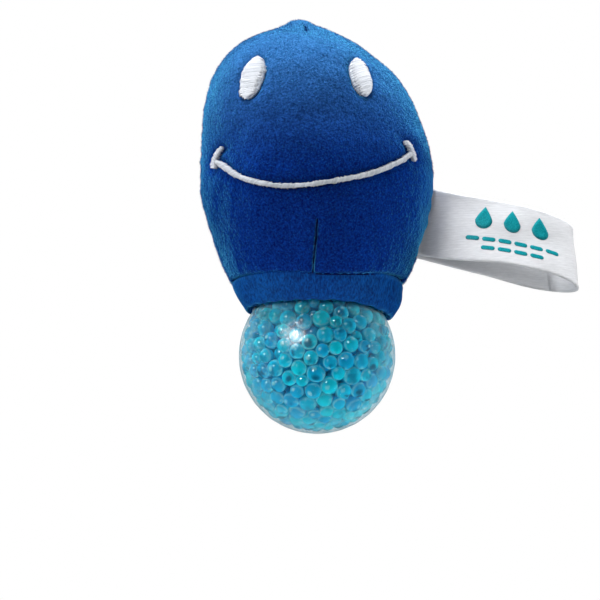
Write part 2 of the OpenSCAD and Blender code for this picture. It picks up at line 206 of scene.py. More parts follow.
def smooth01(t):
    t = np.clip(t, 0, 1)
    return t * t * (3 - 2 * t)


# ---------------------------------------------------------------- materials

def feed(nt, socket, value):
    """Links a socket to another one, or sets its value."""
    if isinstance(value, bpy.types.NodeSocket):
        nt.links.new(value, socket)
    else:
        socket.default_value = (*value, 1) if socket.type == "RGBA" else value


def node(nt, kind, **values):
    """A shader node, with its properties set and its inputs fed by name."""
    n = nt.nodes.new("ShaderNode" + kind)
    for key, value in values.items():
        if hasattr(n, key):
            setattr(n, key, value)
        else:
            feed(nt, n.inputs[key.replace("_", " ")], value)
    return n


def new_material(name):
    mat = bpy.data.materials.new(name)
    mat.use_nodes = True
    mat.node_tree.nodes.clear()
    node(mat.node_tree, "OutputMaterial")
    return mat, mat.node_tree


def show(nt, surface):
    """Shows a shader as the material's surface."""
    nt.links.new(surface, nt.get_output_node("ALL").inputs["Surface"])
    return surface


def principled(nt, **values):
    return show(nt, node(nt, "BsdfPrincipled", **values).outputs["BSDF"])


def mix_shader(nt, share, below, above):
    """Shows a share of the shader above over the one below."""
    mixer = node(nt, "MixShader")
    for socket, value in zip(mixer.inputs, (share, below, above)):
        feed(nt, socket, value)
    return show(nt, mixer.outputs[0])


def maths(nt, operation, *terms):
    """Result of a maths node on values or sockets."""
    n = node(nt, "Math", operation=operation)
    for socket, value in zip(n.inputs, terms):
        feed(nt, socket, value)
    return n.outputs[0]


def edge_on(nt):
    """0 where the surface is seen head on, 1 at its edge."""
    return node(nt, "LayerWeight", Blend=0.5).outputs["Facing"]


def edge_share(nt, power, scale, least):
    """A share that rises from its least value, head on, to the edge."""
    return maths(nt, "MULTIPLY_ADD", maths(nt, "POWER", edge_on(nt), power), scale, least)


def local_place(nt):
    return node(nt, "TexCoord").outputs["Object"]


def noise(nt, scale_mm, detail=2.0, rough=0.5, stretch=None):
    place = local_place(nt)
    if stretch:
        place = node(nt, "Mapping", Scale=stretch, Vector=place).outputs["Vector"]
    n = node(nt, "TexNoise", Vector=place, Scale=1 / (scale_mm * MM), Detail=detail, Roughness=rough)
    return n.outputs["Fac"]


def per_island(nt):
    """A random value for each loose part of a mesh."""
    return node(nt, "NewGeometry").outputs["Random Per Island"]


def ramp(nt, fac, stops):
    r = node(nt, "ValToRGB", Fac=fac)
    el = r.color_ramp.elements
    while len(el) < len(stops):
        el.new(0.5)
    for e, (place, colour) in zip(el, stops):
        e.position = place
        e.color = (*colour, 1)
    return r.outputs["Color"]


def mix_colour(nt, fac, a, b, blend="MIX"):
    m = node(nt, "Mix", data_type="RGBA", blend_type=blend)
    # inputs 6 and 7 and output 2 are the ones for colours
    for k, value in ((0, fac), (6, a), (7, b)):
        feed(nt, m.inputs[k], value)
    return m.outputs[2]


def patchy(nt, col, fac, shade):
    """The colour with patches of shade."""
    return mix_colour(nt, 1.0, col, ramp(nt, fac, [(0.3, shade), (0.7, (1, 1, 1))]), "MULTIPLY")


def bump(nt, height, depth_mm, strength, **under):
    b = node(nt, "Bump", Height=height, Distance=depth_mm * MM, Strength=strength, **under)
    return b.outputs["Normal"]


def height_share(nt, low_mm, high_mm):
    """0 below one height above the mouth, 1 above the other, smooth between."""
    z = node(nt, "SeparateXYZ", Vector=local_place(nt)).outputs["Z"]
    return node(nt, "MapRange", interpolation_type="SMOOTHSTEP", Value=z, From_Min=MOUTH + low_mm * MM,
                From_Max=MOUTH + high_mm * MM).outputs["Result"]


# painted light: colours of the paler pile towards the crown, and the heights above the mouth between which
# it fades in, as if lit from above
PAINTED_TOP_DARK, PAINTED_TOP_LIGHT = (0.012, 0.078, 0.215), (0.046, 0.172, 0.43)
PAINTED_TOP_FROM, PAINTED_TOP_TO = 34, 84


def plush_material(name, dark, light, fibre=False):
    """Short pile, with painted light that makes it paler towards the crown, as if lit from above."""
    mat, nt = new_material(name)
    fine = noise(nt, 0.60, 3.0, 0.68)
    col = ramp(nt, fine, [(0.38, dark), (0.64, light)])
    # painted light: the pile turns paler towards the crown
    painted_top_light = ramp(nt, fine, [(0.38, PAINTED_TOP_DARK), (0.64, PAINTED_TOP_LIGHT)])
    col = mix_colour(nt, height_share(nt, PAINTED_TOP_FROM, PAINTED_TOP_TO), col, painted_top_light)
    col = patchy(nt, col, noise(nt, 9.0), (0.80, 0.84, 0.88))
    relief = {}
    if fibre:
        tones_and_painted_light = [(0.0, (0.66, 0.72, 0.80)), (0.6, (1, 1, 1)), (1.0, (1.35, 1.25, 1.15))]
        col = mix_colour(nt, 1.0, col, ramp(nt, per_island(nt), tones_and_painted_light), "MULTIPLY")
    else:
        under = bump(nt, noise(nt, 1.1), 0.35, 0.8)
        relief["Normal"] = bump(nt, noise(nt, 0.45, 2.0, 0.6, (1, 1, 0.7)), 0.30, 1.0, Normal=under)
    principled(nt, Base_Color=col, Roughness=0.85, Sheen_Weight=1.0, Sheen_Roughness=0.29,
               Sheen_Tint=(0.10, 0.65, 1.0), Specular_IOR_Level=0.05, **relief)
    return mat


def knit_material(name, dark, light):
    mat, nt = new_material(name)
    col = ramp(nt, noise(nt, 0.55, 3.0, 0.65, (1, 1, 0.16)), [(0.38, dark), (0.64, light)])
    principled(nt, Base_Color=patchy(nt, col, noise(nt, 6.0), (0.8, 0.8, 0.85)), Roughness=0.85,
               Sheen_Weight=0.6, Sheen_Roughness=0.4, Sheen_Tint=(0.10, 0.64, 1.0), Specular_IOR_Level=0.1,
               Normal=bump(nt, noise(nt, 0.22, 2.0, 0.6, (1, 1, 0.4)), 0.08, 0.8))
    return mat


def thread_material(name, dark, light, rough=0.45, sheen=0.3, spec=0.35):
    mat, nt = new_material(name)
    col = ramp(nt, per_island(nt), [(0.0, dark), (1.0, light)])
    principled(nt, Base_Color=patchy(nt, col, noise(nt, 0.25, 2.0, 0.6), (0.9, 0.9, 0.92)), Roughness=rough,
               Sheen_Weight=sheen, Specular_IOR_Level=spec, Normal=bump(nt, noise(nt, 0.12), 0.03, 0.7))
    return mat


RIB = 0.82467


def satin_material(name, dark, light):
    """Woven ribbon, thin enough to let some light through."""
    mat, nt = new_material(name)
    # a wave texture of scale 1 has a band every pi / 10 metres; the weave's rib is 0.82 mm
    rib = node(nt, "TexWave", wave_type="BANDS", bands_direction="Z", Vector=local_place(nt),
               Scale=math.pi / 10 / (RIB * MM), Distortion=0.4, Detail=1.0)
    grain = noise(nt, 0.6, 3.0, 0.6, (0.25, 0.25, 2.0))
    under = bump(nt, rib.outputs["Fac"], 0.02, 0.5)
    principled(nt, Base_Color=ramp(nt, grain, [(0.25, dark), (0.75, light)]), Roughness=0.42,
               Specular_IOR_Level=0.35, Sheen_Weight=0.2, Sheen_Roughness=0.3, Subsurface_Weight=0.6,
               Subsurface_Scale=1.0 * MM, Subsurface_Radius=(1.0, 1.0, 1.0),
               Normal=bump(nt, grain, 0.05, 0.6, Normal=under))
    return mat


def ink_material(name, dark, light):
    mat, nt = new_material(name)
    col = ramp(nt, noise(nt, 0.45, 3.0, 0.7), [(0.35, dark), (0.65, light)])
    principled(nt, Base_Color=col, Roughness=0.5, Specular_IOR_Level=0.3,
               Normal=bump(nt, noise(nt, 0.3), 0.02, 0.5))
    return mat


def gel_material(name, dark, light, clear, rough, painted_dark_spot, painted_edge_light, veil=0.0):
    """Gel bead with painted refraction and highlights: painted dark spots, pale edges and glints, and with
    a veil it shows the beads behind it.
    """
    mat, nt = new_material(name)
    col = ramp(nt, per_island(nt), [(0.0, dark), (1.0, light)])
    col = patchy(nt, col, noise(nt, 2.2), (0.88, 0.93, 0.96))
    painted_marks = node(nt, "Attribute", attribute_name="painted_marks").outputs["Color"]
    parts = node(nt, "SeparateColor", Color=painted_marks)
    # painted light and shade from the mesh attribute: red paints the dark spots, green the pale edges, blue
    # the pale glints
    for channel, colour in (("Green", painted_edge_light), ("Red", painted_dark_spot), ("Blue", (0.50, 1.0, 1.0))):
        col = mix_colour(nt, parts.outputs[channel], col, colour)
    gel = principled(nt, Base_Color=col, Roughness=rough, IOR=1.42, Transmission_Weight=clear,
                     Specular_IOR_Level=0.5, Coat_Weight=1.0, Coat_Roughness=0.03, Coat_IOR=1.9,
                     Subsurface_Weight=0.45, Subsurface_Scale=2.2 * MM, Subsurface_Radius=(0.15, 1.0, 1.0),
                     Sheen_Weight=0.7, Sheen_Roughness=0.22, Sheen_Tint=(0.45, 1.0, 1.0),
                     Normal=bump(nt, noise(nt, 1.2, 1.0), 0.05, 0.6))
    if veil:
        body = node(nt, "MapRange", Value=edge_on(nt), To_Min=1 - veil, From_Max=0.8).outputs["Result"]
        mix_shader(nt, body, node(nt, "BsdfTransparent", Color=(0.22, 0.86, 0.97)).outputs[0], gel)
    return mat


def skin_material(name):
    """Clear soft rubber: see-through head on, milky where it is seen edge on, and glossy."""
    mat, nt = new_material(name)
    uneven = bump(nt, noise(nt, 2.2, 3.0, 0.6), 0.16, 0.9)
    haze = ramp(nt, noise(nt, 3.2), [(0.32, (0.14, 0.46, 0.58)), (0.68, (0.62, 0.76, 0.83))])
    milky = principled(nt, Base_Color=haze, Roughness=0.35, Specular_IOR_Level=0.3, Normal=uneven)
    clear = node(nt, "BsdfTransparent", Color=(0.95, 0.99, 1.0)).outputs[0]
    gloss = node(nt, "BsdfGlossy", Roughness=0.25, Color=(1, 1, 1), Normal=uneven).outputs[0]
    body = mix_shader(nt, edge_share(nt, 2.1, 0.66, 0.004), clear, milky)
    mix_shader(nt, edge_share(nt, 5.0, 0.12, 0.12), body, gloss)
    return mat


def inner_skin_material(name):
    """Inner face of the clear rubber."""
    mat, nt = new_material(name)
    haze = ramp(nt, noise(nt, 4.0), [(0.3, (0.04, 0.60, 0.78)), (0.7, (0.12, 0.76, 0.88))])
    milky = principled(nt, Base_Color=haze, Roughness=0.5, Specular_IOR_Level=0.1)
    mix_shader(nt, 0.015, node(nt, "BsdfTransparent", Color=(0.97, 1.0, 1.0)).outputs[0], milky)
    return mat


def plain_material(name, dark, light, rough, grain_mm):
    mat, nt = new_material(name)
    principled(nt, Base_Color=ramp(nt, noise(nt, grain_mm, 3.0, 0.6), [(0.3, dark), (0.7, light)]),
               Roughness=rough, Normal=bump(nt, noise(nt, grain_mm * 0.5), 0.05, 0.6))
    return mat


PLUSH = plush_material("velboa_plush", (0.0003, 0.0070, 0.098), (0.0022, 0.042, 0.295))
FIBRE = plush_material("velboa_fibre", (0.0003, 0.0090, 0.120), (0.003, 0.050, 0.34), True)
CUFF = knit_material("cuff_knit", (0.0003, 0.020, 0.135), (0.002, 0.076, 0.345))
# the thread is a very dark navy without sheen; in the darts and the cuff seam it also paints the shade of
# the crease
SEWN_AND_CREASE_SHADE = thread_material("sewing_thread", (0.0002, 0.003, 0.030), (0.0006, 0.009, 0.075), 0.7, 0.0, 0.08)
WHITE = thread_material("embroidery_thread", (0.50, 0.53, 0.58), (0.72, 0.75, 0.79))
PAD = plain_material("embroidery_backing", (0.55, 0.60, 0.68), (0.75, 0.79, 0.85), 0.8, 0.5)
ELASTIC = plain_material("elastic_cord", (0.80, 0.80, 0.78), (0.93, 0.93, 0.91), 0.7, 0.5)
LINING = satin_material("pouch_lining", (0.10, 0.20, 0.42), (0.18, 0.32, 0.58))
FILL = plain_material("fibre_fill", (0.78, 0.78, 0.77), (0.94, 0.94, 0.93), 0.95, 1.6)
SKIN = skin_material("clear_rubber")
SKIN_IN = inner_skin_material("clear_rubber_inner")
PLUG = plain_material("plug_rubber", (0.74, 0.84, 0.87), (0.88, 0.95, 0.97), 0.4, 1.0)
# after clearness and roughness come the colour of the painted dark spot and of the painted pale edge
GEL = gel_material("gel_bead", (0.0, 0.52, 0.88), (0.0, 0.86, 1.0), 0.12, 0.04,
                   (0.0, 0.05, 0.12), (0.42, 1.0, 1.0), 0.35)
CORE = gel_material("gel_bead_core", (0.0, 0.40, 0.72), (0.0, 0.72, 1.0), 0.0, 0.08,
                    (0.0, 0.03, 0.08), (0.20, 0.75, 0.90))
SATIN = satin_material("satin_ribbon", (0.50, 0.51, 0.53), (0.63, 0.64, 0.66))
INK = ink_material("tag_ink", (0.0, 0.155, 0.185), (0.008, 0.255, 0.29))
PINK = ink_material("label_ink", (0.74, 0.50, 0.54), (0.85, 0.64, 0.67))


# ---------------------------------------------------------------- the cover's form, from the frame

def node_tree_mm(name):
    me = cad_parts[name].data
    v = np.empty(len(me.vertices) * 3)
    me.vertices.foreach_get("co", v)
    v = v.reshape(-1, 3)
    v = (v - [0, 0, MOUTH]) / MM
    return BVHTree.FromPolygons(v.tolist(), [tuple(p.vertices) for p in me.polygons])


front_tree = node_tree_mm("front_panel")
back_tree = node_tree_mm("back_panel")
low_z = (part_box("front_panel")[0][2] - MOUTH) / MM
high_z = (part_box("front_panel")[1][2] - MOUTH) / MM
FAR = 80.0


def reach(tree, origin, direction):
    """First point of a surface that a ray meets."""
    return tree.ray_cast(Vector(origin), Vector(direction))[0]


def read_rows(count=26):
    """Height, left and right edge, and front and back depth of the cover, from the mouth up."""
    rows = []
    for u in np.linspace(0, 1, count):
        z = low_z + 0.02 + (high_z - low_z - 0.04) * (1 - (1 - u) ** 1.8)
        y = -SEAM_HALF - 0.02
        left = reach(front_tree, (-FAR, y, z), (1, 0, 0))
        right = reach(front_tree, (FAR, y, z), (-1, 0, 0))
        mid = (left.x + right.x) / 2
        front = reach(front_tree, (mid, -FAR, z), (0, 1, 0))
        back = reach(back_tree, (mid, FAR, z), (0, -1, 0))
        rows.append([z, left.x, right.x, -front.y - SEAM_HALF, back.y - SEAM_HALF])
    return np.array(rows)


ROWS = read_rows()
DENSE = even(ROWS, 400)


def row_at(z):
    """Left, right, front depth and back depth of the cover at heights."""
    z = np.clip(z, DENSE[0, 0], DENSE[-1, 0])
    return [np.interp(z, DENSE[:, 0], DENSE[:, k]) for k in (1, 2, 3, 4)]


def lumps(p):
    """Slow unevenness of the stuffed cover."""
    return 0.42 * ripple(p, 34, 3) + 0.10 * ripple(p, 11, 4)


def face_base(x, z, side=-1):
    left, right, front, back = row_at(z)
    mid, half = (left + right) / 2, (right - left) / 2
    q = np.clip((x - mid) / half, -0.985, 0.985)
    depth = front if side < 0 else back
    return np.stack([x, side * (depth * np.sqrt(1 - q * q) + SEAM_HALF), z], -1)


def face_frame(x, z, side=-1):
    """Point on the uneven face and its outward normal."""
    x, z = np.broadcast_arrays(np.asarray(x, float), np.asarray(z, float))
    d = 0.5
    p = face_base(x, z, side)
    n = unit(np.cross(face_base(x + d, z, side) - face_base(x - d, z, side),
                      face_base(x, z + d, side) - face_base(x, z - d, side))) * -side
    return p + n * lumps(p)[..., None], n


# ---------------------------------------------------------------- embroidery shapes

# centre x and z, width, height, and lean in degrees
EYES = {
    "left_eye": (-19.2, 65.9, 6.7, 13.8, 15),
    "right_eye": (13.1, 66.2, 6.4, 12.6, -16),
}
LINES = {
    "smile_line": [[-31, 42.8], [-23.8, 36.3], [-15, 32.6], [-6.5, 31.6], [4.5, 32.9],
                   [15.8, 36], [24.4, 40.8], [28, 44.3]],
    "left_cheek_tick": [[-31.7, 40.9], [-31.5, 43.2], [-30.5, 45.1], [-28.8, 46.4]],
    "right_cheek_tick": [[28.7, 42.0], [28.4, 43.9], [27.5, 45.9], [26.3, 47.6]],
}
LINE_W, LINE_PITCH, LINE_THREAD = 1.75, 0.37, 0.165
EYE_PITCH, EYE_THREAD, EYE_SLANT = 0.28, 0.18, 0.22
LINE_PATHS = {k: even(v, 160 if k == "smile_line" else 40) for k, v in LINES.items()}
FRONT_DART = even([[-1.6, 6.5], [-1.2, 11], [-0.6, 16], [-0.1, 22.2]], 30)
BACK_DART = even([[0.2, 6.5], [0.0, 12], [-0.2, 18], [0.0, 24.5]], 30)
CROWN_DART = even([[-3.1, 84.6], [-3.3, 86.2], [-3.6, 87.8]], 16)


def distance_to(path, x, z):
    d = np.full(np.shape(x), 1e9)
    for a, b in zip(path[:-1], path[1:]):
        ab = b - a
        t = np.clip(((x - a[0]) * ab[0] + (z - a[1]) * ab[1]) / (ab @ ab), 0, 1)
        d = np.minimum(d, np.hypot(x - a[0] - t * ab[0], z - a[1] - t * ab[1]))
    return d


def eye_distance(spec, x, z):
    """Rough distance outside the eye's edge; below 0 inside it."""
    cx, cz, w, h, lean = spec
    c, s = math.cos(math.radians(lean)), math.sin(math.radians(lean))
    u = (x - cx) * c - (z - cz) * s
    v = (x - cx) * s + (z - cz) * c
    q = np.hypot(u / (w / 2), v / (h / 2))
    return (q - 1) * np.minimum(w, h) / 2 * (1 + 0.35 * np.abs(v) / (h / 2))


def stitched_distance(x, z):
    d = np.full(np.shape(x), 1e9)
    for spec in EYES.values():
        d = np.minimum(d, eye_distance(spec, x, z))
    for path in LINE_PATHS.values():
        d = np.minimum(d, distance_to(path[::4], x, z) - LINE_W / 2)
    return d


# ---------------------------------------------------------------- cover panels

ROWS_N, COLS_N = 196, 236
# the columns stand closer beside the darts, in the middle of a row
DART_COLS, DART_SPREAD = 3.0, 0.035
# the crown: extra rows that close it, their rise, and the height over which the seams fade
TIP_ROWS, TIP_RISE, TIP_H = 5, 0.5, 9
TIP_STEPS = TIP_ROWS + 0.1
WALL, SEAM_GAP = 1.5, 0.03


def column_density(share):
    return 1 + DART_COLS * bell(share - 0.5, DART_SPREAD)


def panel_rows():
    """Rows of a panel up to the crown, and how much each still belongs to the side wall."""
    k = even(ROWS, ROWS_N)
    tip = k[-1]
    mid, half = (tip[1] + tip[2]) / 2, (tip[2] - tip[1]) / 2
    extra = []
    cap = np.ones(len(k) + TIP_ROWS)
    for i in range(1, TIP_ROWS + 1):
        f = math.cos(i / TIP_STEPS * math.pi / 2)
        cap[len(k) + i - 1] = f
        rise = TIP_RISE * math.sin(i / TIP_STEPS * math.pi / 2)
        extra.append([tip[0] + rise, mid - half * f, mid + half * f, tip[3] * f, tip[4] * f])
    return np.concatenate([k, extra]), cap


def panel_grid(side):
    """Smooth grid of a panel: points, outward normals, angles and shares of the columns."""
    k, cap = panel_rows()
    fine = np.linspace(0, 1, 2001)
    dense = column_density(fine)
    share = np.interp(np.linspace(0, 1, COLS_N), np.cumsum(dense) / dense.sum(), fine)
    share[0], share[-1] = 0, 1
    a = math.pi * share
    mid, half = (k[:, 1] + k[:, 2]) / 2, (k[:, 2] - k[:, 1]) / 2
    depth = k[:, 3] if side < 0 else k[:, 4]
    x = mid[:, None] + half[:, None] * np.cos(a)[None]
    y = side * (depth[:, None] * np.sin(a)[None] + SEAM_HALF)
    z = np.repeat(k[:, :1], COLS_N, 1)
    p = np.stack([x, y, z], -1)
    du = np.gradient(p, axis=1)
    dv = np.gradient(p, axis=0)
    n = unit(np.cross(du, dv)) * side
    n[-1] = n[-2]
    # the last rows round over and close the crown
    n = unit(n * cap[:, None, None] + np.array([0, 0, 1.0]) * (1 - cap)[:, None, None])
    return p, n, a, share


def panel_relief(side, p, seam_d, rise, near_tip):
    """How far the sewn and stuffed cloth stands out from the smooth grid."""
    x, z = p[..., 0], p[..., 2]
    from_cuff = rise[:, None]
    h = lumps(p) * (1 - 0.8 * near_tip) + 0.35 * near_tip ** 2
    # the cloth pulls in below the pinched tip
    h -= 0.6 * bell(high_z - z - 5.4, 3.2)
    h += 0.55 * bell(high_z - z - 0.6, 1.3)
    # side seam: a soft valley with a narrow crease, and small puckers along it
    h -= 0.9 * bell(seam_d, 1.1) * (1 - 0.85 * near_tip)
    h -= 0.35 * bell(seam_d, 4.0) * (1 - near_tip)
    pucker = np.sin(rise * 2 * math.pi / 4.6 + 1.2 * np.sin(rise / 7.0))[:, None]
    h += 0.16 * pucker * bell(seam_d - 2.2, 2.4)
    # cuff seam: the panel rolls in over it, with gathers that fade upwards
    h -= 1.2 * bell(from_cuff, 0.8)
    h += 0.20 * bell(from_cuff - 2.6, 1.8)
    turn = np.arctan2(p[..., 1], p[..., 0])
    gather = np.sin(turn * 31 + 1.3 * np.sin(turn * 5)) * 0.6 + np.sin(turn * 19 + 2) * 0.4
    h += 0.15 * gather * bell(from_cuff, 6.5) * smooth01(from_cuff / 1.5)
    # darts
    dart = FRONT_DART if side < 0 else BACK_DART
    d = distance_to(dart, x, z)
    top = dart[-1, 1]
    fade = smooth01((top + 1.0 - z) / 6)
    h -= (1.9 * bell(d, 0.30) + 0.40 * bell(d, 2.6)) * (0.3 + 0.7 * fade)
    h += 0.30 * bell(np.abs(x - np.interp(z, dart[:, 1], dart[:, 0])) - 2.0, 1.1) * fade
    h += 0.5 * bell(np.hypot(x - dart[0, 0] - 0.4, z - low_z - 1.2), 1.3)
    d = distance_to(CROWN_DART, x, z)
    h -= 0.9 * bell(d, 0.55) * (1 - smooth01(z - high_z + 0.6))
    # stitches press the pile flat and pull the cloth in round them
    if side < 0:
        e = stitched_distance(x, z)
        h -= 0.70 * (1 - smooth01((e + 0.1) / 0.9)) + 0.42 * bell(np.maximum(e, 0), 1.7)
    return h


def panel(side, name):
    """One sewn panel as a closed thin solid, with its seam, darts, gathers and dimples."""
    p, n, a, share = panel_grid(side)
    # distance from the side seam along the row, on both sides
    step = np.linalg.norm(np.diff(p, axis=1), axis=2)
    run = np.concatenate([np.zeros((len(p), 1)), np.cumsum(step, 1)], 1)
    seam_d = np.minimum(run, run[:, -1:] - run)
    rise = run_of(p[:, COLS_N // 2])
    near_tip = np.clip((p[..., 2] - (high_z - TIP_H)) / TIP_H, 0, 1)
    h = panel_relief(side, p, seam_d, rise, near_tip)
    # pile
    grain = rng.normal(size=h.shape)
    for _ in range(2):
        grain = (grain + np.roll(grain, 1, 0) + np.roll(grain, -1, 0)
                 + np.roll(grain, 1, 1) + np.roll(grain, -1, 1)) / 5
    grain[:, 0] = grain[:, -1] = 0
    h += 0.13 * grain * (1 - near_tip * 0.6) / column_density(share)

    close = bell(seam_d, 0.9)
    p = p + n * h[..., None]
    p[..., 2] -= 1.9 * bell(rise[:, None], 5.0) * np.sin(a)[None] ** 2
    p[..., 1] -= side * (SEAM_HALF - SEAM_GAP) * close
    p[:, 0, 1] = p[:, -1, 1] = side * SEAM_GAP
    wall = WALL * np.minimum(1, 0.35 + seam_d / 3) * (1 - 0.8 * near_tip)
    inner = p - n * wall[..., None]
    inner[..., 1] = np.where(side * inner[..., 1] < SEAM_GAP, side * SEAM_GAP, inner[..., 1])

    pts = np.concatenate([p.reshape(-1, 3), inner.reshape(-1, 3)])
    ob = make(name + "_plush", pts, shell_faces(len(p), COLS_N, side > 0), PLUSH, "cover", "plush")
    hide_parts(name)
    return ob, p, n


# where the pile lies flat round the root of the label
FLAT_FROM_X, FLAT_Z, FLAT_HALF = 30.2, 28.0, 13.5
# least and largest length and half width of a fibre, and how deep its foot stands in the cloth
FIBRE_L, FIBRE_W, FIBRE_FOOT = (0.30, 0.58), (0.05, 0.08), 0.15


def pile_on(name, p, n, count, side):
    """Short fibres standing on a panel, leaning down the nap, as thin closed spikes."""
    cols = p.shape[1]
    cell = np.linalg.norm(np.cross(p[1:, :-1] - p[:-1, :-1], p[:-1, 1:] - p[:-1, :-1]), axis=2)
    weight = cell.ravel() / cell.sum()
    pick = rng.choice(len(weight), count, p=weight)
    i, j = pick // (cols - 1), pick % (cols - 1)
    u, v = rng.uniform(size=(2, count, 1))
    base = (p[i, j] * (1 - u) * (1 - v) + p[i + 1, j] * u * (1 - v)
            + p[i, j + 1] * (1 - u) * v + p[i + 1, j + 1] * u * v)
    up = n[i, j]
    dart = FRONT_DART if side < 0 else BACK_DART
    keep = (i > 1) & (distance_to(dart, base[:, 0], base[:, 2]) > 0.7)
    # the pile lies flat where the label comes out of the seam
    keep &= (base[:, 0] < FLAT_FROM_X) | (np.abs(base[:, 2] - FLAT_Z) > FLAT_HALF)
    if side < 0:
        keep &= stitched_distance(base[:, 0], base[:, 2]) > 0.1
    base, up = base[keep], up[keep]
    m = len(base)
    nap = unit(up * up[:, 2:3] + [0, 0, -1])
    lean = unit(up * 0.85 + nap * 0.38 + rng.normal(size=(m, 3)) * 0.26)
    length = rng.uniform(*FIBRE_L, (m, 1))
    width = rng.uniform(*FIBRE_W, (m, 1))
    s = unit(np.cross(lean, rng.normal(size=(m, 3))))
    t = np.cross(lean, s)
    foot = base - up * FIBRE_FOOT
    a = foot + s * width
    b = foot - s * width * 0.5 + t * width * 0.87
    c = foot - s * width * 0.5 - t * width * 0.87
    top = base + lean * length
    pts = np.stack([a, b, c, top], 1).reshape(-1, 3)
    k = np.arange(m)[:, None] * 4
    faces = np.concatenate([k + [0, 1, 3], k + [1, 2, 3], k + [2, 0, 3], k + [0, 2, 1]])
    make(name, pts, faces, FIBRE, "cover", "plush", smooth=False)


PILE_COUNT = 42000
front, front_points, front_normals = panel(-1, "front_panel")
back, back_points, back_normals = panel(1, "back_panel")
pile_on("front_pile", front_points, front_normals, PILE_COUNT, -1)
pile_on("back_pile", back_points, back_normals, PILE_COUNT, 1)


# ---------------------------------------------------------------- embroidery

def satin_stitch(pile, path, normals, radius, sides=6):
    """One thread as a slightly flat tube along a path."""
    side = unit(np.cross(unit(np.gradient(path, axis=0)), normals))
    a = round_angles(sides)
    r = np.broadcast_to(radius, (len(path),))[:, None, None]
    ring = side[:, None] * np.cos(a)[None, :, None] + normals[:, None] * np.sin(a)[None, :, None] * 0.85
    pts = (path[:, None] + r * ring).reshape(-1, 3)
    pile.add(pts, tube_faces(len(path), sides))


def eye(name, spec):
    """Padded oval of satin stitches that run across its short width."""
    cx, cz, w, h, lean = spec
    c, s = math.cos(math.radians(lean)), math.sin(math.radians(lean))
    pile = Pile()
    count = int(h / EYE_PITCH)
    for i in range(count):
        v = -h / 2 + h * (i + 0.5) / count
        reach_u = w / 2 * math.sqrt(max(1 - (2 * v / h) ** 2, 0)) + rng.uniform(-0.42, 0.40)
        if reach_u < 0.35:
            continue
        u = np.linspace(-reach_u, reach_u, 11)
        vv = v + rng.uniform(-0.03, 0.03) + 0.03 * np.sin(u * 0.9 + rng.uniform(0, 6)) + u * EYE_SLANT
        x = cx + u * c + vv * s
        z = cz - u * s + vv * c
        p, n = face_frame(x, z)
        q = np.clip(np.hypot(u / (reach_u + 0.01), v / (h / 2) * 0.75), 0, 1)
        lift = 0.06 + 0.34 * np.sqrt(1 - q ** 5.0) + rng.uniform(-0.02, 0.02)
        lift[0] = lift[-1] = -0.55
        lift[1] = lift[-2] = 0.10
        satin_stitch(pile, p + n * lift[:, None], n, EYE_THREAD * np.r_[0.7, np.ones(9), 0.7])
    # raised backing under the stitches
    rings, steps = 6, 36
    pts = []
    for r in np.linspace(0, 1, rings + 1)[1:]:
        a = round_angles(steps)
        u, v = r * w / 2 * np.cos(a) * 0.96, r * h / 2 * np.sin(a) * 0.97
        p, n = face_frame(cx + u * c + v * s, cz - u * s + v * c)
        pts.append(p + n * (0.40 * math.sqrt(1 - r ** 5.0) - 0.25))
    top, top_n = face_frame(np.array([cx]), np.array([cz]))
    pts = np.concatenate([*pts, top + top_n * 0.15, pts[-1] - top_n, top - top_n * 0.9])
    hub = rings * steps
    last, foot = hub - steps, hub + 1
    faces = grid_faces(rings, steps, wrap=True)
    for k in range(steps):
        nxt = (k + 1) % steps
        faces += [(hub, nxt, k), (last + k, last + nxt, foot + nxt, foot + k)]
        faces.append((foot + steps, foot + k, foot + nxt))
    make(name + "_backing", pts, faces, PAD, "cover", "embroidery")
    ob = make(name + "_stitches", *pile.mesh(), WHITE, "cover", "embroidery")
    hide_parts(name)


def stitched_line(name, path):
    """Narrow satin column: short slanted stitches side by side along a line."""
    pile = Pile()
    run = run_of(path)
    count = int(run[-1] / LINE_PITCH)
    for i in range(count):
        at = (i + 0.5) / count * run[-1]
        c = at_run(path, run, at)
        step = at_run(path, run, at + 0.5) - at_run(path, run, at - 0.5)
        t = step / np.linalg.norm(step)
        across = np.array([-t[1], t[0]]) * 0.86 + t * 0.50
        half = LINE_W / 2 * (1 + rng.uniform(-0.30, 0.26))
        half *= min(1.0, 0.62 + min(at, run[-1] - at) * 0.4)
        u = np.linspace(-half, half, 8)
        x, z = c[0] + across[0] * u, c[1] + across[1] * u
        p, n = face_frame(x, z)
        lift = 0.40 * np.sqrt(1 - np.clip(np.abs(u / half), 0, 1) ** 2.6) + rng.uniform(-0.09, 0.09)
        lift[0] = lift[-1] = -0.6
        satin_stitch(pile, p + n * lift[:, None], n, LINE_THREAD * np.r_[0.7, np.ones(6), 0.7])
    # backing cord under the stitches
    p, n = face_frame(path[::2, 0], path[::2, 1])
    taper = np.ones(len(p)) * 0.55
    taper[0] = taper[-1] = 0.35
    satin_stitch(pile, p - n * 0.34, n, taper, 8)
    ob = make(name + "_stitches", *pile.mesh(), WHITE, "cover", "embroidery")
    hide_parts(name)


for item in EYES.items():
    eye(*item)
for item in LINE_PATHS.items():
    stitched_line(*item)


# ---------------------------------------------------------------- cuff

def cuff_lean(turn):
    """Slow unevenness of the cuff round the mouth."""
    return (0.30 * np.sin(3 * turn + 0.6) + 0.22 * np.sin(5 * turn + 2.1)
            + 0.14 * np.sin(9 * turn + 0.4))


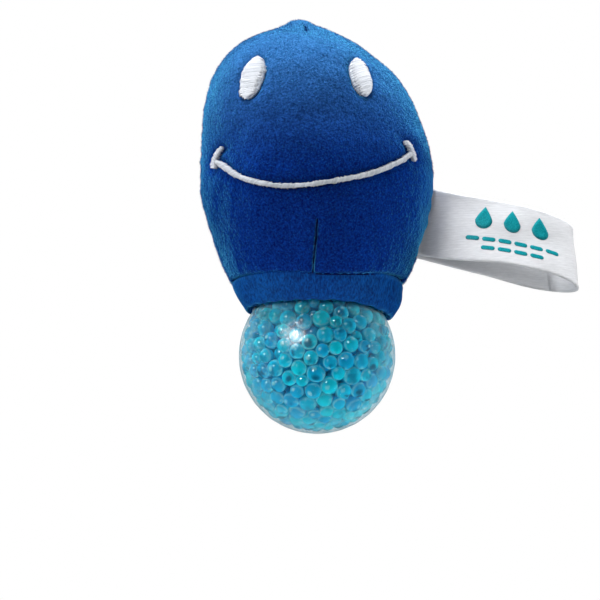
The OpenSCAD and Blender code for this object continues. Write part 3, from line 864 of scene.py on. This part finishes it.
def revolve(name, profile, cols, mat, body, slot, shape):
    """Uneven solid of revolution of a closed profile, given as radius and height."""
    prof = np.asarray(profile, float)
    a = round_angles(cols)
    rows = len(prof)
    r = np.repeat(prof[:, :1], cols, 1)
    z = np.repeat(prof[:, 1:2], cols, 1)
    r, z = shape(r, z, a[None, :])
    pts = np.stack([r * np.cos(a), r * np.sin(a), z], -1).reshape(-1, 3)
    faces = np.array(grid_faces(rows + 1, cols, wrap=True)) % len(pts)
    return make(name, pts, faces, mat, body, slot)


# outer wall from the seam down, round the hem, and up the inside
CUFF_OUT = [[24.2, 9.2], [25.25, 8.95], [25.75, 7.9], [24.6, 5.2], [23.3, 3.0], [22.45, 1.7], [22.0, 0.9],
            [21.5, 0.30], [20.85, 0.12], [20.25, 0.35], [19.95, 0.95], [20.1, 1.8], [20.9, 2.9],
            [22.1, 4.9], [23.2, 7.0], [23.7, 8.5]]
RIBS = 290


def cuff_shape(r, z, a):
    """Ribs on the outside, a bulge on the label's side, and a wavy hem."""
    wall = smooth01((8.6 - z) / 1.5) * smooth01((z + 0.2) / 1.2)
    outer = (r > 20.6 + np.clip(z, 0, 9) * 0.45) * 1.0
    rib = np.cos(a * RIBS) * 0.09 + np.cos(a * RIBS / 2 + 0.8) * 0.03
    side = np.clip(np.cos(a), 0, 1) ** 3
    low = 1 - smooth01(z / 7.5)
    bulge = 0.9 * side * bell(z - 3.6, 2.6) + 0.95 * side * low
    r = r + wall * cuff_lean(a) * 0.8 * np.clip((z + 1) / 6, 0.25, 1) + bulge + rib * outer * wall
    z = (z - 2.0 * side * low + 0.3 * low * np.clip(-np.cos(a), 0, 1)
         + 0.16 * np.sin(23 * a + 1.4 * np.sin(3 * a)) * (1 - smooth01(z / 3)))
    return r, z


cuff = revolve("cuff_knit_band", even(CUFF_OUT, 46), RIBS * 6, CUFF, "cover", "cuff_knit", cuff_shape)
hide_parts("cuff_band")


# ---------------------------------------------------------------- sewing threads

def stitches(name, path, normals, length, gap, radius, replaced):
    """A run of machine stitches: short rounded threads that dip into the cloth at both ends."""
    path = np.asarray(path, float)
    run = run_of(path)
    pile = Pile()
    count = max(int(run[-1] / (length + gap)), 1)
    dip = np.array([-0.32, -0.06, 0, 0.02, 0, -0.06, -0.32])
    for i in range(count):
        at = np.linspace(i, i + length / (length + gap), 7) / count * run[-1]
        p = at_run(path, run, at)
        n = unit(at_run(normals, run, at))
        satin_stitch(pile, p + n * dip[:, None], n, radius * np.array([0.6, 0.9, 1, 1, 1, 0.9, 0.6]))
    ob = make(name, *pile.mesh(), SEWN_AND_CREASE_SHADE, "cover", "sewing_thread")
    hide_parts(replaced)


# the side seam runs up one side, over the crown and down the other
SEAM_IN, SEAM_TOP, DART_LOW = 1.25, 84.0, 7.0
CROWN_PATH = [[6.0, 0, 85.2], [0.0, 0, 87.0], [-5, 0, 88.6], [-10, 0, 87.3], [-17, 0, 84.8]]


def side_seam():
    k = even(ROWS, 90)
    k = k[k[:, 0] < SEAM_TOP]
    zero = np.zeros(len(k))
    right = np.stack([k[:, 2] - SEAM_IN, zero, k[:, 0]], -1)
    left = np.stack([k[:, 1] + SEAM_IN, zero, k[:, 0]], -1)[::-1]
    path = np.concatenate([right, CROWN_PATH, left])
    out = unit(path - np.array([-3.0, 0, 45.0]))
    stitches("side_seam_stitches", path, out, 2.2, 0.5, 0.19, "side_seam_thread")


def dart_stitches_and_shade(part, dart, side, depth, length, gap, radius):
    d = dart[dart[:, 1] >= DART_LOW]
    p, n = face_frame(d[:, 0], d[:, 1], side)
    stitches(part + "_stitches", p - n * depth, n, length, gap, radius, part + "_thread")


side_seam()
# painted shade: the dart threads are very dark and thick and lie high in their grooves, a dark line for the
# shade in the crease
# side and depth, then the length, gap and radius of the stitches
dart_stitches_and_shade("front_dart", FRONT_DART, -1, 0.50, 2.3, 0.1, 0.27)
dart_stitches_and_shade("back_dart", BACK_DART, 1, 0.50, 2.3, 0.1, 0.27)
dart_stitches_and_shade("crown_dart", CROWN_DART, -1, 0.55, 1.5, 0.4, 0.17)
# painted shade: a thick, nearly unbroken ring of dark thread for the shade in the crease under the panel's
# edge
ring = np.concatenate([front_points[0], back_points[0, ::-1]])
out = unit(ring * [1, 1, 0])
stitches("cuff_seam_stitches_and_shade", ring + out * 0.10, out, 2.5, 0.08, 0.32, "cuff_seam_thread")


# ---------------------------------------------------------------- gel ball

BULGE_C, BULGE_R = -13.3, 23.6
LOBE_C, LOBE_R = 22.0, 21.5
WAIST_R, WAIST_LOW, WAIST_HIGH, SHOULDER = 19.6, 0.2, 3.2, 8.6
SKIN_T = 0.5
# where the bulge ends in the neck, and how far a bead presses the skin out
NECK_COS, PRESS = -0.56, 0.09


def ball_radius(z, inset):
    """Radius of the ball's outline at heights."""
    bulge = np.sqrt(np.maximum((BULGE_R - inset) ** 2 - (z - BULGE_C) ** 2, 0))
    lobe = np.sqrt(np.maximum((LOBE_R - inset) ** 2 - (z - LOBE_C) ** 2, 0))
    r = np.maximum(bulge, lobe)
    neck = np.interp(z, [WAIST_LOW - 6, WAIST_LOW, WAIST_HIGH, SHOULDER, LOBE_C],
                     np.array([WAIST_R - 0.4, WAIST_R, WAIST_R, LOBE_R, LOBE_R]) - inset)
    inside = (z > WAIST_LOW - 1) & (z < LOBE_C)
    return np.where(inside, np.maximum(r, neck), r)


# beads: mean radius, spread, least and largest; how far two may overlap, and their gap to the skin
BEAD_R, BEAD_SPREAD, BEAD_MIN, BEAD_MAX = 2.42, 0.22, 1.75, 2.85
BEAD_OVERLAP, BEAD_GAP, BEAD_SHRINK, CALM_ROUNDS = 0.12, 0.08, 0.985, 25


def pack_beads(count, seed, rounds):
    """Soft beads packed by pushing overlapping neighbours apart inside the skin."""
    r = np.random.default_rng(seed)
    size = np.clip(r.normal(BEAD_R, BEAD_SPREAD, count), BEAD_MIN, BEAD_MAX)
    limit_r = SKIN_T + BEAD_GAP
    low, high = BULGE_C - BULGE_R + 3, LOBE_C + LOBE_R - 3
    p = np.empty((0, 3))
    while len(p) < count:
        q = r.uniform([-22, -22, low], [22, 22, high], (count * 2, 3))
        ok = np.hypot(q[:, 0], q[:, 1]) < ball_radius(q[:, 2], limit_r + 2.4)
        p = np.concatenate([p, q[ok]])
    p = p[:count]
    for k in range(rounds):
        diff = p[:, None] - p[None]
        dist = np.sqrt((diff ** 2).sum(-1)) + np.eye(count) * 1e6
        over = np.maximum(size[:, None] + size[None] - BEAD_OVERLAP - dist, 0)
        p = p + ((over / dist)[..., None] * diff).sum(1) * 0.42
        # until the last rounds, the beads of the bulge drift out towards the skin
        if k < rounds - CALM_ROUNDS:
            low_half = p[:, 2] < 2
            p[low_half] += unit(p[low_half] - [0, 0, BULGE_C]) * 0.10
        # keep inside: ball ends as spheres, middle by radius
        for c, big, sign in ((BULGE_C, BULGE_R, -1), (LOBE_C, LOBE_R, 1)):
            v = p - [0, 0, c]
            d = np.linalg.norm(v, axis=1)
            room = big - limit_r - size
            out = (d > room) & (sign * (p[:, 2] - c) > 0)
            p[out] = [0, 0, c] + v[out] * (room / d)[out, None]
        flat = np.hypot(p[:, 0], p[:, 1])
        room = ball_radius(p[:, 2], limit_r) - size
        out = (flat > room) & (p[:, 2] > BULGE_C) & (p[:, 2] < LOBE_C)
        p[out, :2] *= (room / flat)[out, None]
    return p, size


BEADS = 1120
bead_p, bead_r = pack_beads(BEADS, 11, 110)
# the beads that show are those of the bulge, near its skin
SHOWN_BELOW, SHOWN_DEPTH = -0.6, 4.2
bulge_centre = np.array([0, 0, BULGE_C])
depth_in = BULGE_R - SKIN_T - np.linalg.norm(bead_p - bulge_centre, axis=1)
outer = (bead_p[:, 2] < SHOWN_BELOW) & (depth_in < SHOWN_DEPTH)


def bead_mesh(name, pick, mat, slot, turns, rows, replaced):
    """The picked beads as one mesh, with each point's share of painted dark spot, painted pale edge and
    painted glint.
    """
    pile, tones_and_painted_light = Pile(), []
    r = np.random.default_rng(5)
    for c, s in zip(bead_p[pick], bead_r[pick]):
        pts, faces = ball(s * BEAD_SHRINK * r.uniform(0.97, 1.03, 3), turns, rows)
        # each bead is turned its own way about a random axis
        axis = unit(r.normal(size=3))
        angle = r.uniform(0, math.pi)
        k = np.array([[0, -axis[2], axis[1]], [axis[2], 0, -axis[0]], [-axis[1], axis[0], 0]])
        turned = pts @ (np.eye(3) + math.sin(angle) * k + (1 - math.cos(angle)) * (k @ k)).T
        d = unit(turned)
        o = unit(c - (bulge_centre if c[2] < 4 else [0, 0, LOBE_C]))
        # painted shade: a ragged dark spot low on the outer side of most beads
        spot = unit(o * 0.95 + [0, 0, -0.42] + r.normal(size=3) * 0.24)
        ragged = 0.09 * np.sin(d @ r.normal(size=3) * 5 + r.uniform(0, 6))
        painted_dark_spot = smooth01((d @ spot + ragged - r.uniform(0.76, 0.93)) / 0.13)
        painted_dark_spot = painted_dark_spot * r.choice([0.0, 0.5, 0.85], p=[0.4, 0.3, 0.3])
        # painted light: a pale edge round each bead
        painted_edge_light = bell(d @ o - 0.30, 0.12) * r.uniform(0.45, 1.0)
        # painted light: a bright curve low on the side away from the main light
        far = unit(o * 0.62 + [0.40, 0, -0.62] + r.normal(size=3) * 0.10)
        painted_bright_curve = bell(d @ far - 0.80, 0.06) * smooth01((0.86 - d @ o) / 0.25)
        painted_edge_light = np.maximum(painted_edge_light, painted_bright_curve * r.uniform(0.3, 1.0))
        # painted highlight: a small pale glint on the side towards the main light
        lit = unit(o * 0.85 + [-0.30, 0, 0.40] + r.normal(size=3) * 0.22)
        painted_glint = smooth01((d @ lit - 0.945) / 0.05) * r.choice([0.0, 0.6, 1.0], p=[0.3, 0.3, 0.4])
        tones_and_painted_light.append(np.stack([painted_dark_spot, painted_edge_light, painted_glint, np.ones_like(painted_dark_spot)], -1))
        pile.add(turned + c, faces)
    ob = make(name, *pile.mesh(), mat, "beads", slot)
    attr = ob.data.color_attributes.new("painted_marks", "FLOAT_COLOR", "POINT")
    attr.data.foreach_set("color", np.concatenate(tones_and_painted_light).ravel())
    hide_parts(replaced)


bead_mesh("gel_beads_outer", outer, GEL, "gel_bead", 26, 15, "bead_layer")
bead_mesh("gel_beads_inner", ~outer, CORE, "gel_bead_core", 12, 8, "bead_core")


def skin_piece():
    """Thin clear skin, pressed out a little by each bead that touches it."""
    rows, cols = 170, 220
    # up the bulge to its neck, along the neck, and over the lobe
    bulge = BULGE_C - BULGE_R * np.cos(np.linspace(0, math.acos(NECK_COS), rows * 6 // 10))
    neck = np.linspace(bulge[-1] + 0.4, SHOULDER, rows // 6)
    lobe_from = math.acos((LOBE_C - SHOULDER) / LOBE_R) + 0.03
    lobe = LOBE_C - LOBE_R * np.cos(np.linspace(lobe_from, math.pi, rows // 4))
    z = np.concatenate([bulge, neck, lobe])
    rad = ball_radius(z, 0.0)
    rad[0] = rad[-1] = 0.02
    a = round_angles(cols)
    pts = np.stack([np.outer(rad, np.cos(a)), np.outer(rad, np.sin(a)), np.repeat(z[:, None], cols, 1)], -1)
    flat = pts.reshape(-1, 3)
    dirs = unit(flat - np.where(flat[:, 2:3] < 4, bulge_centre, [0, 0, LOBE_C]))
    push = np.zeros(len(flat))
    for c, s in zip(bead_p[outer], bead_r[outer]):
        d2 = ((flat - (bulge_centre + unit(c - bulge_centre) * BULGE_R)) ** 2).sum(1)
        touch = math.exp(-max(BULGE_R - SKIN_T - np.linalg.norm(c - bulge_centre) - s, 0) * 2)
        push += touch * np.exp(-d2 / (0.75 * s) ** 2)
    push = (np.minimum(push, 1.2) - 0.4) * (flat[:, 2] < WAIST_LOW)
    pts = np.concatenate([flat + dirs * (PRESS * push)[:, None], flat - dirs * SKIN_T])
    n = len(z)
    faces = grid_faces(n, cols, wrap=True)
    inner_first = len(faces)
    faces += grid_faces(n, cols, n * cols, wrap=True, flip=True)
    # a small cap closes each end of both walls
    for first_ring, flip in ((0, False), ((n - 1) * cols, True)):
        for base, other in ((0, False), (n * cols, True)):
            cap = tuple(range(base + first_ring, base + first_ring + cols))
            faces.append(cap[::-1] if flip == other else cap)
    ob = make("clear_rubber_skin", pts, faces, SKIN, "gel_ball", "clear_rubber")
    ob.data.materials.append(SKIN_IN)
    for f in ob.data.polygons[inner_first:2 * inner_first]:
        f.material_index = 1
    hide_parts("ball_skin")


skin_piece()


# ---------------------------------------------------------------- satin tag

ROOT = np.array([33.5, 0, 27.7])
DROOP, ROLL = math.radians(14), math.radians(16)
LOOP_L, LOOP_GAP, LOOP_PEAK, LOOP_OPEN = 46.5, 6.2, 0.77, 0.17
# where the loop's ends are sewn in: distance inside the seam and half their gap
SEWN_IN, SEWN_GAP = 1.2, 0.28
WAVE_L, FADE_L = 17, 8
RIBBON_W, RIBBON_T, TAG_WAVE, TAG_SEED = 21.0, 0.4, 0.22, 21
LABEL_W, LABEL_T, LABEL_DROP, LABEL_WAVE, LABEL_SEED = 20.0, 0.25, 1.6, 0.12, 22
ALONG = np.array([math.cos(DROOP), 0, -math.sin(DROOP)])


def tag_axes(s):
    """Directions across the ribbon and backward from it, at distances from the seam."""
    s = np.asarray(s, float)
    roll = ROLL * smooth01(1.7 * s / LOOP_L)
    tilt = DROOP * (1 - 1.2 * smooth01(s / LOOP_L))
    z = np.zeros_like(s)
    across = np.stack([np.sin(tilt), z, np.cos(tilt)], -1)
    wide = across * np.cos(roll)[..., None] + np.stack([z, np.sin(roll), z], -1)
    backward = np.stack([z, np.cos(roll), z], -1) - across * np.sin(roll)[..., None]
    return wide, backward


def tag_point(s, n, w):
    wide, backward = tag_axes(s)
    s, n, w = (np.asarray(v)[..., None] for v in (s, n, w))
    return ROOT + ALONG * s + backward * n + wide * w


def half_gap(s):
    """Half the distance between the loop's two layers."""
    a = np.arccos(1 - 2 * np.clip(np.asarray(s, float) / LOOP_L, 0, 1))
    return LOOP_GAP / LOOP_PEAK * np.sin(a) * np.sin(a / 2)


def loop_line(n):
    """Path of the ribbon: out along the front, round the fold and back, as distance and offset."""
    a = np.linspace(LOOP_OPEN, 2 * math.pi - LOOP_OPEN, 800)
    q = np.stack([LOOP_L / 2 * (1 - np.cos(a)), -LOOP_GAP / LOOP_PEAK * np.sin(a) * np.sin(a / 2)], -1)
    q = np.concatenate([[[-SEWN_IN, -SEWN_GAP]], q, [[-SEWN_IN, SEWN_GAP]]])
    run = run_of(q)
    return at_run(q, run, np.linspace(0, run[-1], n)), run[-1]


def ribbon_piece(name, line, width, thick, mat, body, slot, across_n, drop=0.0, wave=0.0, seed=0):
    """Ribbon as a thin closed solid with a fine thread relief and soft waves."""
    d = np.gradient(line, axis=0)
    nrm = unit(np.stack([d[:, 1], -d[:, 0]], -1))
    w = np.linspace(-width / 2, width / 2, across_n)
    s_run = run_of(line)
    layers = []
    edge = 1 - np.abs(w) / (width / 2)
    for sign in (1, -1):
        t = thick / 2 * (np.minimum(1, 0.45 + edge * 20) + 0.35 * bell(edge - 0.045, 0.03))
        lift = wave * ripple(np.stack(np.broadcast_arrays(s_run[:, None], w[None], 0.0), -1), WAVE_L, seed)
        lift = lift * smooth01(s_run / FADE_L)[:, None] * smooth01((s_run[-1] - s_run) / FADE_L)[:, None]
        off = lift + sign * t[None]
        a = line[:, None] + nrm[:, None] * off[..., None]
        layers.append(tag_point(a[..., 0], a[..., 1], np.broadcast_to(w[None] - drop, a.shape[:2])))
    pts = np.concatenate([layers[0].reshape(-1, 3), layers[1].reshape(-1, 3)])
    return make(name, pts, shell_faces(len(line), across_n), mat, body, slot)


line, loop_length = loop_line(150)
tag = ribbon_piece("satin_loop_ribbon", line, RIBBON_W, RIBBON_T, SATIN, "tag", "satin", 34,
                   wave=TAG_WAVE, seed=TAG_SEED)
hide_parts("loop_tag")

# the small label hangs back from the seam, between the loop's layers
LABEL_IN, LABEL_OUT, LABEL_LEAN = 1.0, 38.0, 0.55
label_s = np.linspace(-LABEL_IN, LABEL_OUT, 60)
label_n = LABEL_LEAN * (half_gap(label_s) - half_gap(1.8)) * smooth01((label_s + LABEL_IN) / 4)
label_line = np.stack([label_s, label_n], -1)
label_length = np.linalg.norm(np.diff(label_line, axis=0), axis=1).sum()
label = ribbon_piece("inner_care_label", label_line, LABEL_W, LABEL_T, SATIN, "small_label", "satin", 30,
                     drop=LABEL_DROP, wave=LABEL_WAVE, seed=LABEL_SEED)
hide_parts("care_label")


def patch(pile, outline, s0, w0, place, lift, film):
    """A thin printed patch that follows the ribbon, from an outline of distance and width."""
    ring = np.asarray(outline, float)
    c = ring.mean(0)
    levels = [ring * (1 - f) + c * f for f in (0, 0.33, 0.66)]
    n = len(ring)
    tops = [place(q[:, 0] + s0, q[:, 1] + w0, lift + film) for q in levels]
    hub, low_hub = (place(c[:1] + s0, c[1:] + w0, h) for h in (lift + film, lift))
    low = place(ring[:, 0] + s0, ring[:, 1] + w0, lift)
    faces = grid_faces(4, n, wrap=True)
    for k in range(n):
        nxt = (k + 1) % n
        faces += [(3 * n + k, 3 * n + nxt, 4 * n), (nxt, k, 4 * n + 1)]
    pile.add(np.concatenate([low, *tops, hub, low_hub]), faces)


def drop_outline(r, n=28):
    """A drop: round below, drawn to a point above."""
    a = round_angles(n)
    shrink = np.where(np.sin(a) > 0, (1 - np.sin(a)) ** 0.55, 1)
    return np.stack([r * np.cos(a) * shrink, r * np.where(np.sin(a) > 0, 1.7, 1.0) * np.sin(a)], -1)


def bar_outline(length, height, n=6):
    """A bar with round ends."""
    r = height / 2
    a = np.linspace(-math.pi / 2, math.pi / 2, n)
    right = np.stack([length / 2 - r + r * np.cos(a), r * np.sin(a)], -1)
    return np.concatenate([right, -right])


def on_ribbon(s, w, lift):
    """On the outside of the front layer."""
    g = -half_gap(s)
    slope = (-half_gap(s + 0.2) + half_gap(s - 0.2)) / 0.4
    out = unit(np.stack([slope, -np.ones_like(slope)], -1))
    front_ply = line[:len(line) // 2]
    run = np.interp(s, front_ply[:, 0], run_of(front_ply))
    wave = TAG_WAVE * ripple(np.stack([run, w, w * 0], -1), WAVE_L, TAG_SEED) * smooth01(run / FADE_L)
    h = lift + RIBBON_T / 2 + wave
    return tag_point(s + out[:, 0] * h, g + out[:, 1] * h, w)


# three drops over two rows of dashes
DASH_L, DASH_H, DASH_STEP, SUNK = 4.0, 1.4, 4.8, -0.02
print_pile = Pile()
for s0 in (17.0, 26, 35.0):
    patch(print_pile, drop_outline(2.7), s0, 3.0, on_ribbon, SUNK, 0.07)
for count, first, w0 in ((6, 14.4, -3.0), (4, 19.2, -5.9)):
    for i in range(count):
        patch(print_pile, bar_outline(DASH_L, DASH_H), first + DASH_STEP * i, w0, on_ribbon, SUNK, 0.07)
printed = make("tag_generic_print", *print_pile.mesh(), INK, "tag", "tag_ink")
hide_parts("tag_print")


def on_label(s, w, lift):
    """On the back of the small label."""
    n = np.interp(s, label_s, label_n)
    run = np.interp(s, label_s, run_of(label_line))
    wave = LABEL_WAVE * ripple(np.stack([run, w, w * 0], -1), WAVE_L, LABEL_SEED) * smooth01(run / FADE_L)
    wave = wave * smooth01((label_length - run) / FADE_L)
    return tag_point(s, n + LABEL_T / 2 + lift - wave, w - LABEL_DROP)


care_pile = Pile()
for w0 in (-5, -1, 3):
    for s0 in (14, 18, 22, 26):
        patch(care_pile, bar_outline(3.0, 1.0), s0, w0, on_label, SUNK, 0.06)
care = make("care_label_bars", *care_pile.mesh(), PINK, "small_label", "label_ink")
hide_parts("care_print")


# ---------------------------------------------------------------- inside the cover

# the pouch: its wall, the dome over it, and the hollow in the fibre round it
POUCH_R, POUCH_TOP, POUCH_T, HOLLOW_R = 22.4, 56.5, 0.5, 23.2
POUCH_WALL = [[24.2, 9.7], [24.2, 22], [24.2, 36], [POUCH_R, 48], [POUCH_R, POUCH_TOP]]


def dome_line(radius, last):
    return [[radius * math.cos(t), POUCH_TOP + radius * math.sin(t)] for t in np.linspace(0.15, last, 9)]


def wrinkle(r, z, a):
    """Soft folds of the lining, which fade towards its middle."""
    keep = smooth01(r / 12)
    return r + keep * 0.07 * (1 + np.sin(a * 26 + 0.12 * z + 0.8 * np.sin(z / 6))), z


def pouch_piece():
    """The lining that the ball slides in."""
    inside = POUCH_WALL + dome_line(POUCH_R, 1.53)
    profile = inside + [[0.05, POUCH_TOP + POUCH_R], [0.05, 79.45]]
    for r, z in reversed(inside):
        t = math.atan2(max(z - POUCH_TOP, 0), r)
        profile.append([r + POUCH_T * math.cos(t), z + POUCH_T * math.sin(t)])
    pouch = revolve("pouch_lining", profile, 220, LINING, "cover", "lining", wrinkle)
    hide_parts("inner_pouch")


def fibre_piece():
    """Tufted fibre between the cover and the pouch."""
    rows, cols, low, inset = 70, 110, 15.0, 3.6
    k = even(ROWS, 200)
    k = k[k[:, 0] > low]
    k = k[::max(1, len(k) // rows)]
    a = round_angles(cols)
    outside = []
    for z, left, right, front_depth, back_depth in k:
        mid, half = (left + right) / 2, (right - left) / 2
        drop = inset * float(smooth01((z - 45) / (high_z - 45)))
        wide = max(half - inset, 0.5)
        deep = np.where(np.sin(a) < 0, max(front_depth - inset, 0.5), max(back_depth - inset, 0.5))
        outside.append(np.stack([mid + wide * np.cos(a), deep * np.sin(a), np.full(cols, z - drop)], -1))
    outside = np.array(outside)
    hollow_prof = [[25.0, low]] + [[r + 0.75, z] for r, z in POUCH_WALL[2:]] + dome_line(HOLLOW_R, 1.5)
    hollow = np.array([[[r * math.cos(t), r * math.sin(t), z] for t in a] for r, z in hollow_prof])
    tuft = ripple(outside.reshape(-1, 3), 5.0, 31).reshape(outside.shape[:2])
    centre = outside.mean(1, keepdims=True)
    outside = outside - unit(outside - centre) * (0.35 + 0.3 * tuft)[..., None] * smooth01(
        np.linalg.norm(outside - centre, axis=2, keepdims=True) / 8)
    pts = np.concatenate([outside.reshape(-1, 3), hollow.reshape(-1, 3),
                          [outside[-1].mean(0)], [[0, 0, POUCH_TOP + HOLLOW_R]]])
    nr, nh = len(outside), len(hollow)
    first = nr * cols
    faces = grid_faces(nr, cols, wrap=True) + grid_faces(nh, cols, first, wrap=True, flip=True)
    for j in range(cols):
        q = (j + 1) % cols
        faces.append((q, j, first + j, first + q))
        faces.append((first - cols + j, first - cols + q, len(pts) - 2))
        faces.append((first + (nh - 1) * cols + q, first + (nh - 1) * cols + j, len(pts) - 1))
    fill = make("stuffing_fibre", pts, faces, FILL, "cover", "fibre")
    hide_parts("fibre_fill")


pouch_piece()
fibre_piece()
for node_name, mat in (("cuff_elastic", ELASTIC), ("ball_plug", PLUG)):
    for node_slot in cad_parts[node_name].material_slots:
        node_slot.material = mat


# ---------------------------------------------------------------- stage, light and camera

FLOOR_Z, FLOOR_HALF = -0.21, 9


def stage_floor():
    me = bpy.data.meshes.new("studio_floor")
    corners = [(x * FLOOR_HALF, y * FLOOR_HALF, FLOOR_Z) for x, y in ((-1, -1), (1, -1), (1, 1), (-1, 1))]
    me.from_pydata(corners, [], [(0, 1, 2, 3)])
    ob = add_object("studio_floor", me)
    mat, nt = new_material("studio_floor")
    col = ramp(nt, noise(nt, 400), [(0.3, (0.10, 0.10, 0.10)), (0.7, (0.12, 0.12, 0.12))])
    principled(nt, Base_Color=col, Roughness=0.9, Emission_Color=(1.0, 1.0, 1.0), Emission_Strength=0.97)
    me.materials.append(mat)
    ob.visible_diffuse = False
    ob.visible_glossy = False


def softbox(name, place, aim, size, watts, glossy=False):
    """A round soft light; only the glossy ones show as highlights."""
    data = bpy.data.lights.new(name, "AREA")
    data.shape = "DISK"
    data.size = size
    data.energy = watts
    ob = add_object(name, data)
    ob.location = place
    ob.rotation_euler = (Vector(aim) - Vector(place)).to_track_quat("-Z", "Y").to_euler()
    ob.visible_glossy = glossy


stage_floor()
world = bpy.data.worlds.new("studio")
bpy.context.scene.world = world
world.use_nodes = True
background = world.node_tree.nodes["Background"].inputs
background["Color"].default_value = (1, 1, 1, 1)
background["Strength"].default_value = 1.0
world.cycles_visibility.diffuse = False
world.cycles_visibility.glossy = False
AIM, BALL_AIM = (0.0, 0.0, -0.01), (0.0, 0.0, -0.05)
softbox("key_softbox", (-0.50, -0.68, 0.29), BALL_AIM, 0.30, 2.8, glossy=True)
softbox("top_softbox", (-0.14, -0.12, 0.92), AIM, 0.60, 25.0)
softbox("spark_left", (-0.42, -0.76, 0.26), BALL_AIM, 0.05, 0.48, glossy=True)
softbox("fill_softbox", (0.50, -0.55, -0.04), (0.04, 0, -0.04), 0.30, 0.60)
softbox("under_softbox", (0.0, -0.075, -0.195), BALL_AIM, 0.12, 0.27)
softbox("rim_softbox_right", (0.85, 0.10, 0.10), AIM, 0.5, 9.0)
softbox("rim_softbox_left", (-0.9, 0.1, 0.15), AIM, 0.5, 7.0)
softbox("back_softbox", (0.15, 0.88, 0.20), AIM, 0.5, 4.2)

LENS, SENSOR, CAMERA_FAR = 138.6, 36.0, 0.7
camera = bpy.data.cameras.new("photo_camera")
camera.lens = LENS
camera.sensor_width = SENSOR
camera.clip_start = 0.01
cam = add_object("photo_camera", camera)
TARGET = Vector((-0.00515, 0.0, -0.0383))
TILT = math.radians(10)
cam.location = TARGET - Vector((0, math.cos(TILT), math.sin(TILT))) * CAMERA_FAR
cam.rotation_euler = (math.radians(90) + TILT, 0, 0)
bpy.context.scene.camera = cam
bpy.context.scene.view_settings.view_transform = "Standard"
